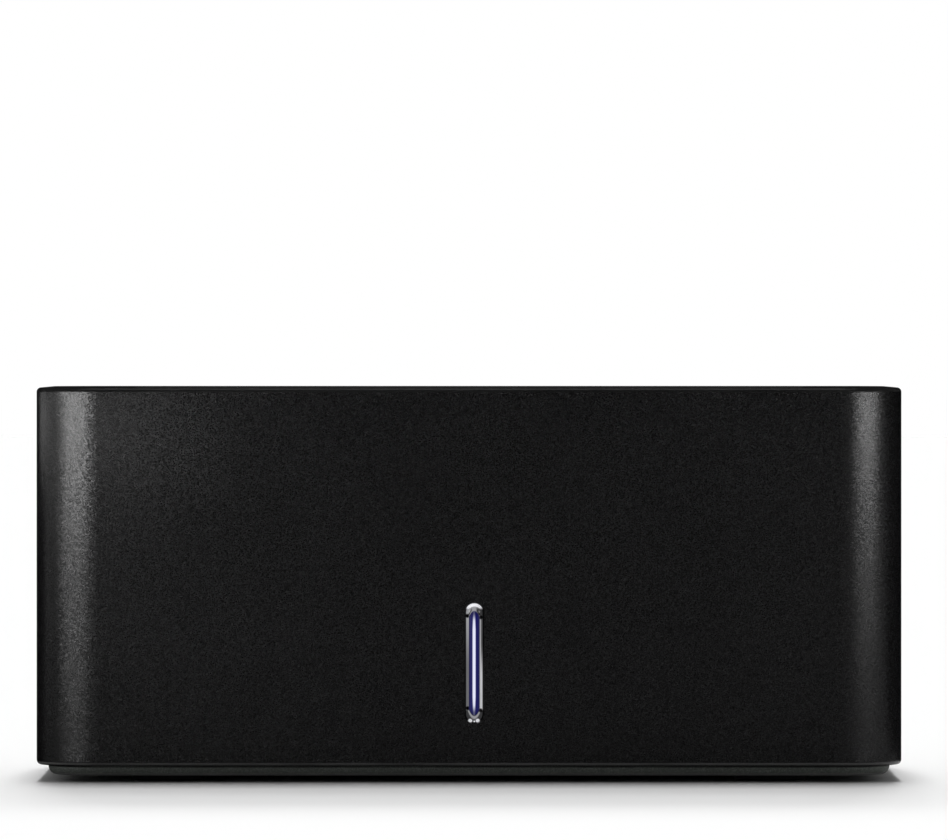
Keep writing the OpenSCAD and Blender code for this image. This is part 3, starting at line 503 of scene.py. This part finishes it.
def lead_insulation(name):
    """Smooth insulation with a faint drift in its colour and gloss."""
    material, tree, shader = new_finish(name, Specular_IOR_Level=0.45)
    drift = noise(tree, 1.5 * MM, 3.0)
    tree.links.new(mixed(tree, drift, (0.24, 0.012, 0.012, 1.0), (0.36, 0.022, 0.020, 1.0)),
                   shader.inputs["Base Color"])
    tree.links.new(step(tree, drift, 0.3, 0.7, 0.36, 0.5), shader.inputs["Roughness"])
    bump(tree, shader, noise(tree, 0.3 * MM, 2.0), 0.008 * MM)
    return material


def near(tree, across, up, at, reach):
    """1 at a point and 0 beyond its reach, from two axes in millimetres."""
    dx = maths(tree, "SUBTRACT", across, at[0])
    dz = maths(tree, "SUBTRACT", up, at[1])
    return step(tree, distance(tree, dx, dz), reach * 0.45, reach, 1.0, 0.0)


def distance(tree, first, second):
    """Length of the line whose two sides these are."""
    squares = maths(tree, "MULTIPLY_ADD", first, first, maths(tree, "MULTIPLY", second, second))
    return maths(tree, "SQRT", squares)


def pointed(tree, across, up, half, straight_to, taper):
    """1 on the edge of an upright bar of this half width whose ends taper to points, less inside."""
    side = maths(tree, "DIVIDE", across, half)
    end = maths(tree, "DIVIDE", beyond(tree, up, straight_to), taper)
    return maths(tree, "MULTIPLY_ADD", side, side, end)


def between(tree, share, first, second):
    """Value between two values or sockets."""
    made = shade(tree, "ShaderNodeMix", {0: share, 2: first, 3: second}, data_type="FLOAT")
    return made.outputs[0]


def beyond(tree, value, limit):
    """How far a value lies beyond a limit on either side of zero."""
    return maths(tree, "MAXIMUM", maths(tree, "SUBTRACT", maths(tree, "ABSOLUTE", value), limit), 0.0)


def light_strip(name, finish):
    """Clear rod with a lit core: colours go by the distance from the rod's middle line.

    The core is blue with a pale streak and ends in points. The grey of the clear flanks, and the pale arc,
    point and glints and the dark spots at the round ends, are painted reflections, light and dark. Lengths
    are in millimetres from the rod's middle.
    """
    material, tree, shader = new_finish(
        name, Specular_IOR_Level=0.12, Roughness=0.14, IOR=1.49, Emission_Strength=1.0)
    across, up = across_and_up(tree, "light_pipe")
    rod_straight, core_straight, streak_straight, streak_fade = 7.7, 7.0, 5.1, 6.3
    to_rod = distance(tree, across, beyond(tree, up, rod_straight))
    to_core = pointed(tree, across, up, 0.84, core_straight, 0.95)
    core = step(tree, to_core, 0.85, 1.12, 1.0, 0.0)
    to_streak = pointed(tree, maths(tree, "ADD", across, 0.03), up, 0.20, streak_straight, 2.5)
    fade = step(tree, beyond(tree, up, streak_fade), 0.0, 1.3, 1.0, 0.15)
    streak = maths(tree, "MULTIPLY", step(tree, to_streak, 0.2, 2.2, 1.0, 0.0), fade)
    halo = step(tree, to_core, 0.0, 1.0, 1.0, 0.0)

    # Flanks, grey as painted reflections: the left one is brighter at the top, the outer part of the right
    # one at the bottom
    left = step(tree, up, -1.0, 7.5, 0.20, 0.46)
    inner = step(tree, up, -2.0, 7.0, 0.62, 0.44)
    outer = step(tree, up, -2.5, 3.0, 0.76, 0.12)
    right = between(tree, step(tree, across, 0.96, 1.06), inner, outer)
    flank = between(tree, step(tree, across, -0.1, 0.1), left, right)
    # The painted reflections go dark at the rod's outline, a painted dark edge
    rim = step(tree, to_rod, 1.18, 1.30, 1.0, 0.02)

    # Round ends, painted reflections: a pale arc and a dark edge above, a pale point and three glints
    # below, four dark spots
    glints = (((-0.62, -8.77), 0.40), ((0.52, -8.75), 0.40), ((0.0, -8.86), 0.18))
    painted_dark_spots, painted_dark_spot_reach = ((-1.05, 7.16), (1.0, 6.95), (-1.0, -6.85), (0.95, -7.18)), 0.42
    end = step(tree, beyond(tree, up, core_straight), 0.1, 0.3)
    is_top = step(tree, up, -0.1, 0.1)
    cheek = between(tree, is_top, 0.05, step(tree, across, 0.1, 0.7, 0.40, 0.05))
    # clear holds the grey of the painted reflections on the clear rod
    clear = maths(tree, "MULTIPLY", between(tree, end, flank, cheek), rim)
    point = maths(tree, "MULTIPLY", step(tree, to_core, 1.0, 1.2), step(tree, to_core, 1.35, 1.8, 1.0, 0.0))
    point = maths(tree, "MULTIPLY", point, end)
    clear = maths(tree, "MULTIPLY_ADD", point, between(tree, is_top, 0.32, 0.0), clear)
    beside = step(tree, maths(tree, "ABSOLUTE", across), 0.25, 0.50)
    edge = maths(tree, "MULTIPLY", maths(tree, "MULTIPLY", point, is_top), beside)
    clear = maths(tree, "MULTIPLY", clear, maths(tree, "MULTIPLY_ADD", edge, -0.95, 1.0))
    arc = maths(tree, "MULTIPLY", step(tree, to_rod, 0.75, 1.15), step(tree, to_rod, 1.28, 1.42, 1.0, 0.0))
    arc = maths(tree, "MULTIPLY", arc, step(tree, up, 8.05, 8.55))
    clear = maths(tree, "MULTIPLY_ADD", arc, 1.2, clear)
    for at, reach in glints:
        clear = maths(tree, "ADD", clear, near(tree, across, up, at, reach))
    for at in painted_dark_spots:
        kept = maths(tree, "SUBTRACT", 1.0, near(tree, across, up, at, painted_dark_spot_reach))
        clear = maths(tree, "MULTIPLY", clear, kept)

    # The grey of the painted reflections is half base colour and half glow, so the flanks glow though they
    # are no lamp; the core is nearly all glow
    half = maths(tree, "MULTIPLY", clear, 0.55)
    unlit_core = (0.004, 0.004, 0.012, 1.0)
    grey = shade(tree, "ShaderNodeCombineColor", {0: half, 1: half, 2: maths(tree, "MULTIPLY", half, 1.05)})
    lit = mixed(tree, halo, brightened(finish.glow_colour, 0.75), brightened(finish.glow_colour, 1.5))
    lit = mixed(tree, streak, lit, opaque(finish.streak_colour))
    tree.links.new(mixed(tree, core, grey.outputs[0], unlit_core), shader.inputs["Base Color"])
    tree.links.new(mixed(tree, core, grey.outputs[0], lit), shader.inputs["Emission Color"])
    return material


def lamp_resin(name):
    """Pale resin of the lamp under the strip, lit from inside."""
    material, tree, shader = new_finish(name, Roughness=0.3, Emission_Strength=0.8)
    cloud = noise(tree, 0.6 * MM, 2.0)
    tree.links.new(mixed(tree, cloud, (0.62, 0.68, 0.85, 1.0), (0.80, 0.85, 0.96, 1.0)),
                   shader.inputs["Base Color"])
    tree.links.new(mixed(tree, cloud, (0.05, 0.08, 0.8, 1.0), (0.12, 0.18, 1.0, 1.0)),
                   shader.inputs["Emission Color"])
    return material


def marked_rocker(name, colour):
    """Black rocker with a white bar on one half of its face and a white ring on the other."""
    material, tree, shader = new_finish(name, Specular_IOR_Level=0.45)
    cells = placed_group(tree, "Moulded grain", 1.0 / (0.2 * MM))
    across, up = across_and_up(tree, "switch_rocker")
    mark_at, ring_radius, half_stroke, soft = 2.9, 1.15, 0.24, 0.06
    stroke = (half_stroke, half_stroke + soft, 1.0, 0.0)
    bar_x = step(tree, maths(tree, "ABSOLUTE", maths(tree, "SUBTRACT", across, mark_at)), *stroke)
    bar_z = step(tree, maths(tree, "ABSOLUTE", up), 1.35, 1.35 + soft, 1.0, 0.0)
    from_ring = distance(tree, maths(tree, "ADD", across, mark_at), up)
    ring = step(tree, maths(tree, "ABSOLUTE", maths(tree, "SUBTRACT", from_ring, ring_radius)), *stroke)
    outward = step(tree, facing_axes(tree)[1], 0.5, 0.7)
    drawn = maths(tree, "MAXIMUM", maths(tree, "MULTIPLY", bar_x, bar_z), ring)
    mark = maths(tree, "MULTIPLY", drawn, outward)
    ground = mixed(tree, cells["Tone"], brightened(colour, 1.2), brightened(colour, 2.0))
    tree.links.new(mixed(tree, mark, ground, (0.72, 0.72, 0.70, 1.0)), shader.inputs["Base Color"])
    tree.links.new(step(tree, cells["Tone"], 0.0, 1.0, 0.28, 0.38), shader.inputs["Roughness"])
    bump(tree, shader, cells["Height"], 0.006 * MM)
    return material


def studio_floor(name, colour):
    """Pale matt floor with a drift that can hardly be seen."""
    material, tree, shader = new_finish(name, Specular_IOR_Level=0.0, Roughness=1.0)
    drift = noise(tree, 0.4, 2.0)
    tree.links.new(mixed(tree, drift, brightened(colour, 0.995), brightened(colour, 1.005)),
                   shader.inputs["Base Color"])
    return material


def black_felt(name):
    """Black felt with a faint nap."""
    material, tree, shader = new_finish(name, Specular_IOR_Level=0.0, Roughness=1.0)
    nap = noise(tree, 1.0 * MM, 2.0)
    tree.links.new(mixed(tree, nap, (0.004, 0.004, 0.004, 1.0), (0.010, 0.010, 0.010, 1.0)),
                   shader.inputs["Base Color"])
    return material


def white_backdrop(name, room):
    """Backdrop that camera, gloss and clear pieces see as white, and that else gives the room's light."""
    material = bpy.data.materials.new(name)
    material.use_nodes = True
    tree = material.node_tree
    tree.nodes.remove(tree.nodes["Principled BSDF"])
    ray = tree.nodes.new("ShaderNodeLightPath").outputs
    seen = maths(tree, "MAXIMUM", ray["Is Camera Ray"], ray["Is Glossy Ray"])
    seen = maths(tree, "MAXIMUM", seen, ray["Is Transmission Ray"])
    strength = between(tree, seen, room, 1.0)
    glow = shade(tree, "ShaderNodeEmission", {"Color": (1.0, 1.0, 1.0, 1.0), "Strength": strength})
    tree.links.new(glow.outputs[0], tree.nodes["Material Output"].inputs["Surface"])
    return material


def dress(material, *nodes):
    """Gives a finish to CAD nodes."""
    for node in nodes:
        mesh = NODES[node].data
        mesh.materials.clear()
        mesh.materials.append(material)


def fit(piece, material, body, slot, *replaced):
    """Gives a new piece its finish, the body that it rides on and the nodes that it stands for."""
    piece.data.materials.append(material)
    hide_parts(*replaced)
    if body:
        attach(piece, body)


# Operators

class DOCK_OT_mouldings(bpy.types.Operator):
    """Give the housing, base, bay and flaps their grained black plastic, with bands of painted highlight
    and painted shade on the housing and base, and painted light on the bay
    """

    bl_idname = "dock.mouldings"
    bl_label = "Mouldings"

    def execute(self, context):
        finish = context.scene.dock_finish
        black, grain = finish.plastic_colour, finish.grain_size
        low, high = corners_of("housing")
        base_low = corners_of("base_plate")[0]
        # Painted highlights on the housing: a pale line along its lower edge and one below its top edge
        painted_rim_highlights = ((low[2] + 0.36 * MM, 0.24 * MM, 0.085), (high[2] - 0.42 * MM, 0.36 * MM, 0.013))
        # On the base: painted shade just under the housing, and a painted highlight along the base's lower
        # edge
        painted_base_shade_and_highlight = ((low[2], 0.30 * MM, 0.004), (base_low[2] + 0.15 * MM, 0.25 * MM, 0.14))
        housing = moulded_plastic("Housing plastic", black, roughness=0.25, grain=grain, relief=0.022 * MM,
                                  dust=0.04, specular=0.11, speckle=0.97, painted_bands=painted_rim_highlights)
        base = moulded_plastic("Base plastic", finish.base_colour, roughness=0.5, grain=grain,
                               relief=0.012 * MM, dust=0.1, painted_bands=painted_base_shade_and_highlight)
        # The bay is the housing's black lightened four times over: painted light, so that the shaded bay
        # shows
        bay = moulded_plastic("Bay plastic", brightened(black, 4.0), roughness=0.5, grain=grain,
                              relief=0.012 * MM, dust=0.08)
        flap = moulded_plastic("Flap plastic", brightened(black, 1.15), roughness=0.34, grain=grain,
                               relief=0.018 * MM, dust=0.02, speckle=0.7)
        dress(housing, "housing")
        dress(base, "base_plate")
        dress(bay, "drive_bay")
        dress(flap, "wide_flap", "narrow_flap")
        return {"FINISHED"}


class DOCK_OT_feet(bpy.types.Operator):
    """Turn the four rubber feet: a flat disc with a round lower edge and a shallow dip"""

    bl_idname = "dock.feet"
    bl_label = "Feet"

    edge_share = 0.28
    round_steps = 9
    sides = 48

    def execute(self, context):
        finish = context.scene.dock_finish
        skin_rubber = rubber("Foot rubber")
        for node in ("foot_front_left", "foot_front_right", "foot_rear_left", "foot_rear_right"):
            low, high = corners_of(node)
            radius = (high[0] - low[0]) / 2
            edge = (high[2] - low[2]) * self.edge_share
            turn = np.linspace(0.0, np.pi / 2, self.round_steps)
            share = np.linspace(0.06, 1.0, self.round_steps)
            dip_end = radius - 2.2 * edge
            dip_r = dip_end * share
            dip_z = low[2] + finish.foot_dip * np.cos(share * np.pi / 2) ** 2
            edge_r = radius - edge + edge * np.sin(turn)
            edge_z = low[2] + edge - edge * np.cos(turn)
            radii = np.concatenate([dip_r, edge_r, [radius, radius]])
            heights = np.concatenate([dip_z, edge_z, [(low[2] + high[2]) / 2, high[2]]])
            pad = skin(node + "_pad", turned_rings(radii, heights, (low + high) / 2, self.sides))
            fit(pad, skin_rubber, "dock", "foot_rubber", node)
        return {"FINISHED"}


class DOCK_OT_fixings(bpy.types.Operator):
    """Give the screws, the hinge rod and its clips their metal"""

    bl_idname = "dock.fixings"
    bl_label = "Fixings"

    def execute(self, context):
        zinc = bare_metal("Screw zinc", (0.46, 0.46, 0.46), roughness=0.36, streaks=1500.0)
        rod = bare_metal("Rod steel", (0.60, 0.60, 0.61), roughness=0.22, streaks=2600.0, tarnish=0.3)
        clip = bare_metal("Clip steel", (0.30, 0.30, 0.31), roughness=0.4, streaks=1800.0)
        dress(zinc, "base_screws", "bay_screws", "board_screws")
        dress(rod, "hinge_rod")
        dress(clip, "rod_clips")
        return {"FINISHED"}


class DOCK_OT_flap_springs(bpy.types.Operator):
    """Wind the two flap springs: a leg up the bay's wall, a coil round the rod, a leg under the flap"""

    bl_idname = "dock.flap_springs"
    bl_label = "Flap springs"

    turn_steps = 28
    leg_steps = 12
    wire_sides = 12

    def centre_line(self, node, axis, finish):
        """Straight leg, helix and straight leg, with the helix's height and depth on one circle."""
        low, high = corners_of(node)
        wire = finish.wire_diameter / 2
        first, last = low[0] + wire, high[0] - wire
        start = (first, low[1] + wire, low[2] + wire / 2)
        end = (last, high[1] - wire / 2, high[2] - wire)
        share = np.linspace(0.0, 1.0, int(finish.coil_turns * self.turn_steps) + 1)
        angle = np.pi - 2.0 * np.pi * finish.coil_turns * share
        coil = np.stack([
            first + (last - first) * share,
            axis[1] + finish.coil_radius * np.cos(angle),
            axis[2] + finish.coil_radius * np.sin(angle)], axis=-1)
        leg_out = straight(end, coil[-1], self.leg_steps)[::-1]
        return np.concatenate([straight(start, coil[0], self.leg_steps), coil, leg_out])

    def execute(self, context):
        finish = context.scene.dock_finish
        wire = bare_metal("Spring wire", (0.52, 0.52, 0.54), roughness=0.28, streaks=3500.0, tarnish=0.4)
        for flap in ("wide_flap", "narrow_flap"):
            axis = JOINTS[flap + "_hinge"]["pos_m"]
            path = self.centre_line(flap + "_spring", axis, finish)
            coil = skin(flap + "_spring_wire", tube_rings(path, finish.wire_diameter / 2, self.wire_sides))
            fit(coil, wire, None, "spring_steel", flap + "_spring")
            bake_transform(coil)
        return {"FINISHED"}


class DOCK_OT_board(bpy.types.Operator):
    """Give the circuit board and the parts on it their finishes"""

    bl_idname = "dock.board"
    bl_label = "Circuit board"

    def execute(self, context):
        crystal = bare_metal("Crystal can", (0.62, 0.62, 0.63), roughness=0.3, streaks=1200.0, tarnish=0.2)
        ferrite = moulded_plastic("Inductor ferrite", (0.05, 0.05, 0.052), roughness=0.7, grain=0.2 * MM,
                                  relief=0.02 * MM, dust=0.1, specular=0.4)
        can = bare_metal("Capacitor can", (0.66, 0.67, 0.69), roughness=0.26, streaks=900.0, tarnish=0.15)
        dress(board_laminate("Board laminate"), "main_board")
        dress(chip_resin("Chip resin"), "bridge_chip", "firmware_chip")
        dress(crystal, "crystal")
        dress(ferrite, "power_inductors")
        dress(can, "capacitors")
        dress(lamp_resin("Lamp resin"), "status_led")
        return {"FINISHED"}


class DOCK_OT_sockets(bpy.types.Operator):
    """Give the drive connector, the data port and the power jack their plastics and metals"""

    bl_idname = "dock.sockets"
    bl_label = "Sockets"

    def execute(self, context):
        black_nylon = moulded_plastic("Socket nylon", (0.018, 0.018, 0.019), roughness=0.46, grain=0.4 * MM,
                                      relief=0.01 * MM, dust=0.12, specular=0.4)
        blue_nylon = moulded_plastic("Port nylon", (0.012, 0.065, 0.40), roughness=0.42, grain=0.3 * MM,
                                     relief=0.008 * MM, dust=0.05, specular=0.45)
        gold = bare_metal("Contact gold", (0.83, 0.60, 0.24), roughness=0.24, streaks=2200.0, tarnish=0.25)
        shell = bare_metal("Port shell", (0.66, 0.66, 0.67), roughness=0.27, streaks=1400.0, tarnish=0.3)
        nickel = bare_metal("Pin nickel", (0.70, 0.69, 0.67), roughness=0.18, streaks=2000.0, tarnish=0.2)
        dress(black_nylon, "sata_receptacle", "dc_jack")
        dress(gold, "sata_contacts", "usb_contacts")
        dress(shell, "usb_shell")
        dress(blue_nylon, "usb_insulator")
        dress(nickel, "dc_jack_pin")
        return {"FINISHED"}


class DOCK_OT_switch(bpy.types.Operator):
    """Finish the power switch, and lay its two leads from the terminals down to the board"""

    bl_idname = "dock.switch"
    bl_label = "Power switch"

    stub_steps, bend_steps, drop_steps = 8, 24, 12
    lead_sides = 20

    def lead_path(self, x, low, high, finish):
        """Straight stub to the front, quarter circle, and straight drop to the board."""
        radius, bend = finish.lead_diameter / 2, finish.lead_bend
        top, drop_y = high[2] - radius, low[1] + radius
        turn = np.linspace(0.0, np.pi / 2, self.bend_steps)
        arc = np.stack([
            np.full_like(turn, x),
            drop_y + bend * (1.0 - np.sin(turn)),
            top - bend * (1.0 - np.cos(turn))], axis=-1)
        stub = straight((x, high[1], top), arc[0], self.stub_steps)
        drop = straight((x, drop_y, low[2]), arc[-1], self.drop_steps)[::-1]
        return np.concatenate([stub, arc, drop])

    def execute(self, context):
        finish = context.scene.dock_finish
        nylon = moulded_plastic("Switch nylon", (0.009, 0.009, 0.0095), roughness=0.45, grain=0.25 * MM,
                                relief=0.01 * MM, dust=0.08, specular=0.4)
        brass = bare_metal("Terminal brass", (0.72, 0.58, 0.32), roughness=0.3, streaks=1600.0, tarnish=0.4)
        dress(nylon, "switch_frame")
        dress(marked_rocker("Rocker nylon", finish.plastic_colour), "switch_rocker")
        dress(brass, "switch_terminals")
        low, high = corners_of("switch_leads")
        radius = finish.lead_diameter / 2
        red = lead_insulation("Lead insulation")
        for name, x in (("switch_lead_1", low[0] + radius), ("switch_lead_2", high[0] - radius)):
            lead = skin(name, tube_rings(self.lead_path(x, low, high, finish), radius, self.lead_sides))
            fit(lead, red, "dock", "lead_insulation", "switch_leads")
        return {"FINISHED"}


class DOCK_OT_light_strip(bpy.types.Operator):
    """Give the front's light strip its glowing core and the painted reflections on its clear flanks and
    ends
    """

    bl_idname = "dock.light_strip"
    bl_label = "Light strip"

    def execute(self, context):
        dress(light_strip("Lit acrylic", context.scene.dock_finish), "light_pipe")
        return {"FINISHED"}


class DOCK_OT_stage(bpy.types.Operator):
    """Set up the floor, the backdrop, the lamps, the room light and the camera"""

    bl_idname = "dock.stage"
    bl_label = "Stage"

    floor_reach = 6.0
    backdrop_height = 0.36
    floor_drop = 0.02 * MM
    flag_low = 0.5 * MM
    corner_x = 0.062
    edge_lean = 0.08
    edge_spread = math.radians(28.0)

    # Lean towards the rear and spread, both in degrees, and share of the floor's light
    overhead = ((5.0, 11.0, 0.24), (15.5, 11.0, 0.24), (34.0, 18.0, 0.18), (56.0, 18.0, 0.34))

    # Side, bearing from the corner, reach and lower edge of a card, and the half angle and radiance
    # of its layers. The cards end below the top face, which then doesn't show them
    card_high = 0.0597
    corner_cards = (
        ("left_card", -1, 46.0, 0.26, 0.050, ((9.0, 58.0), (18.0, 60.0), (28.0, 60.0))),
        ("left_near", -1, 38.0, 0.09, 0.050, ((12.0, 43.0), (24.0, 43.0))),
        ("left_top", -1, 46.0, 0.04, 0.056, ((16.0, 21.0), (32.0, 21.0))),
        ("left_front", -1, 8.0, 0.07, 0.050, ((10.0, 9.0), (20.0, 9.0))),
        ("left_outer", -1, 72.0, 0.20, 0.050, ((16.0, 13.0),)),
        ("left_side", -1, 112.0, 0.09, 0.050, ((14.0, 3.7), (26.0, 2.5))),
        ("right_card", 1, 51.0, 0.20, 0.048, ((7.0, 37.0), (14.0, 37.0), (24.0, 30.0))),
        ("right_near", 1, 50.0, 0.08, 0.050, ((9.0, 22.0), (18.0, 22.0))),
        ("right_top", 1, 51.0, 0.04, 0.055, ((14.0, 14.0), (28.0, 14.0))),
    )

    def floor_and_backdrop(self, stage):
        """Level floor, and a low round wall just inside its edge."""
        reach, top = self.floor_reach, self.backdrop_height
        line = np.linspace(-reach, reach, 25)
        y, x = np.meshgrid(line, line, indexing="ij")
        floor = sheet("floor", np.stack([x, y, np.full_like(x, -self.floor_drop)], axis=-1))
        floor.data.materials.append(studio_floor("Studio floor", stage.floor_colour))
        angle, height = np.meshgrid(np.linspace(0.0, 2.0 * np.pi, 97), np.linspace(-0.01, top, 2))
        wall = np.stack([reach * 0.99 * np.cos(angle), reach * 0.99 * np.sin(angle), height], axis=-1)
        backdrop = sheet("backdrop", wall[::-1])
        backdrop.data.materials.append(white_backdrop("White backdrop", stage.world_strength))
        backdrop.visible_shadow = False

    def flag(self, name, first, last, profile, felt):
        """Black flag that only gloss sees: reaches and heights swept from bearing to bearing."""
        turn = np.radians(np.linspace(first, last, 25))[None, :]
        reach, height = np.array(profile).T[:, :, None]
        rows = [reach * np.sin(turn), -reach * np.cos(turn), height + 0.0 * turn]
        flag = sheet(name, np.stack(rows, axis=-1))
        flag.data.materials.append(felt)
        flag.visible_camera = flag.visible_diffuse = flag.visible_shadow = False
        flag.visible_transmission = False

    def flags(self):
        """Flags beside, behind and in front of the dock, and a mat at its left."""
        felt, low = black_felt("Black felt"), self.flag_low
        beside = ((0.064, low), (0.16, low), (0.16, 0.075))
        self.flag("left_flag", -95.0, -155.0, beside, felt)
        self.flag("right_flag", 82.0, 155.0, beside, felt)
        self.flag("left_mat", -60.0, -180.0, ((0.06, low), (0.40, low)), felt)
        self.flag("rear_flag", 140.0, 220.0, ((0.45, low), (0.45, 0.30)), felt)
        self.flag("front_flag", -24.0, 45.0, ((0.55, low), (0.55, 0.15)), felt)

    def lamp(self, name, kind, place, aim, **settings):
        """Lamp at a place that looks at another."""
        data = bpy.data.lights.new(name, kind)
        for key, value in settings.items():
            setattr(data, key, value)
        made = bpy.data.objects.new(name, data)
        made.location = place
        line = Vector(aim) - Vector(place)
        made.rotation_euler = line.to_track_quat("-Z", "Y").to_euler()
        bpy.context.scene.collection.objects.link(made)
        return made

    def card(self, name, side, bearing, reach, low, layers):
        """Upright soft card beside a front corner, seen as gloss alone, in layers that add up."""
        turn = math.radians(bearing)
        middle, tall = (low + self.card_high) / 2, self.card_high - low
        corner = (side * self.corner_x, FRONT, middle)
        place = (corner[0] + side * reach * math.sin(turn), FRONT - reach * math.cos(turn), middle)
        for half_angle, radiance in layers:
            width = 2.0 * reach * math.tan(math.radians(half_angle))
            card = self.lamp(f"{name}_{half_angle:.0f}", "AREA", place, corner, shape="RECTANGLE",
                             size=width, size_y=tall, energy=radiance * math.pi * width * tall)
            card.visible_diffuse = False
            card.visible_camera = False

    def lamps(self, stage):
        """Overhead lamps that gloss doesn't show, and the edge light and cards that only gloss shows."""
        middle = (0.0, 0.0, 0.0)
        lit = stage.light_level / stage.floor_colour[1] - stage.world_strength
        for lean, spread, share in self.overhead:
            tilt = math.radians(lean)
            strength = math.pi * lit * share / math.cos(tilt)
            sun = self.lamp(f"overhead_{lean:.0f}", "SUN", (0.0, math.sin(tilt), math.cos(tilt)), middle,
                            energy=strength, angle=math.radians(spread))
            sun.visible_glossy = False
        above = (0.0, -math.sin(self.edge_lean), math.cos(self.edge_lean))
        edge = self.lamp("edge_light", "SUN", above, middle,
                         energy=stage.edge_strength, angle=self.edge_spread)
        edge.visible_diffuse = False
        for card in self.corner_cards:
            self.card(*card)

    def room(self, stage):
        """Even room light, which gloss shows weaker."""
        world = bpy.data.worlds.new("Room")
        bpy.context.scene.world = world
        world.use_nodes = True
        tree = world.node_tree
        background = tree.nodes["Background"]
        background.inputs["Color"].default_value = (1.0, 1.0, 1.0, 1.0)
        glossy = tree.nodes.new("ShaderNodeLightPath").outputs["Is Glossy Ray"]
        strength = between(tree, glossy, stage.world_strength, stage.gloss_strength)
        tree.links.new(strength, background.inputs["Strength"])

    def camera(self, stage):
        """Camera straight in front, with the photograph's frame."""
        data = bpy.data.cameras.new("camera")
        data.sensor_fit = "HORIZONTAL"
        data.sensor_width = SENSOR_WIDTH_MM
        data.lens = stage.focal_pixels * SENSOR_WIDTH_MM / IMAGE_WIDTH
        made = bpy.data.objects.new("camera", data)
        made.location = (0.0, FRONT - stage.camera_distance, stage.camera_height)
        made.rotation_euler = (math.pi / 2 - stage.camera_pitch, 0.0, -stage.camera_yaw)
        bpy.context.scene.collection.objects.link(made)
        bpy.context.scene.camera = made

    def execute(self, context):
        stage = context.scene.dock_stage
        context.scene.view_settings.view_transform = "Standard"
        self.floor_and_backdrop(stage)
        self.flags()
        self.lamps(stage)
        self.room(stage)
        self.camera(stage)
        return {"FINISHED"}


STEPS = (
    "mouldings", "feet", "fixings", "flap_springs", "board", "sockets", "switch", "light_strip", "stage",
)


class DOCK_PT_finish(bpy.types.Panel):
    """Finishes and stage of the drive dock"""

    bl_label = "Drive dock"
    bl_idname = "DOCK_PT_finish"
    bl_space_type = "VIEW_3D"
    bl_region_type = "UI"
    bl_category = "Dock"

    def draw(self, context):
        for group in (context.scene.dock_finish, context.scene.dock_stage):
            box = self.layout.box()
            for key in group.__annotations__:
                box.prop(group, key)
        for name in STEPS:
            self.layout.operator("dock." + name)


CLASSES = (
    DockFinish, DockStage, DOCK_OT_mouldings, DOCK_OT_feet, DOCK_OT_fixings, DOCK_OT_flap_springs,
    DOCK_OT_board, DOCK_OT_sockets, DOCK_OT_switch, DOCK_OT_light_strip, DOCK_OT_stage, DOCK_PT_finish,
)


def register():
    for item in CLASSES:
        bpy.utils.register_class(item)
    bpy.types.Scene.dock_finish = bpy.props.PointerProperty(type=DockFinish)
    bpy.types.Scene.dock_stage = bpy.props.PointerProperty(type=DockStage)


def unregister():
    del bpy.types.Scene.dock_stage
    del bpy.types.Scene.dock_finish
    for item in reversed(CLASSES):
        bpy.utils.unregister_class(item)


def main():
    register()
    for name in STEPS:
        getattr(bpy.ops.dock, name)()


if __name__ == "__main__":
    main()
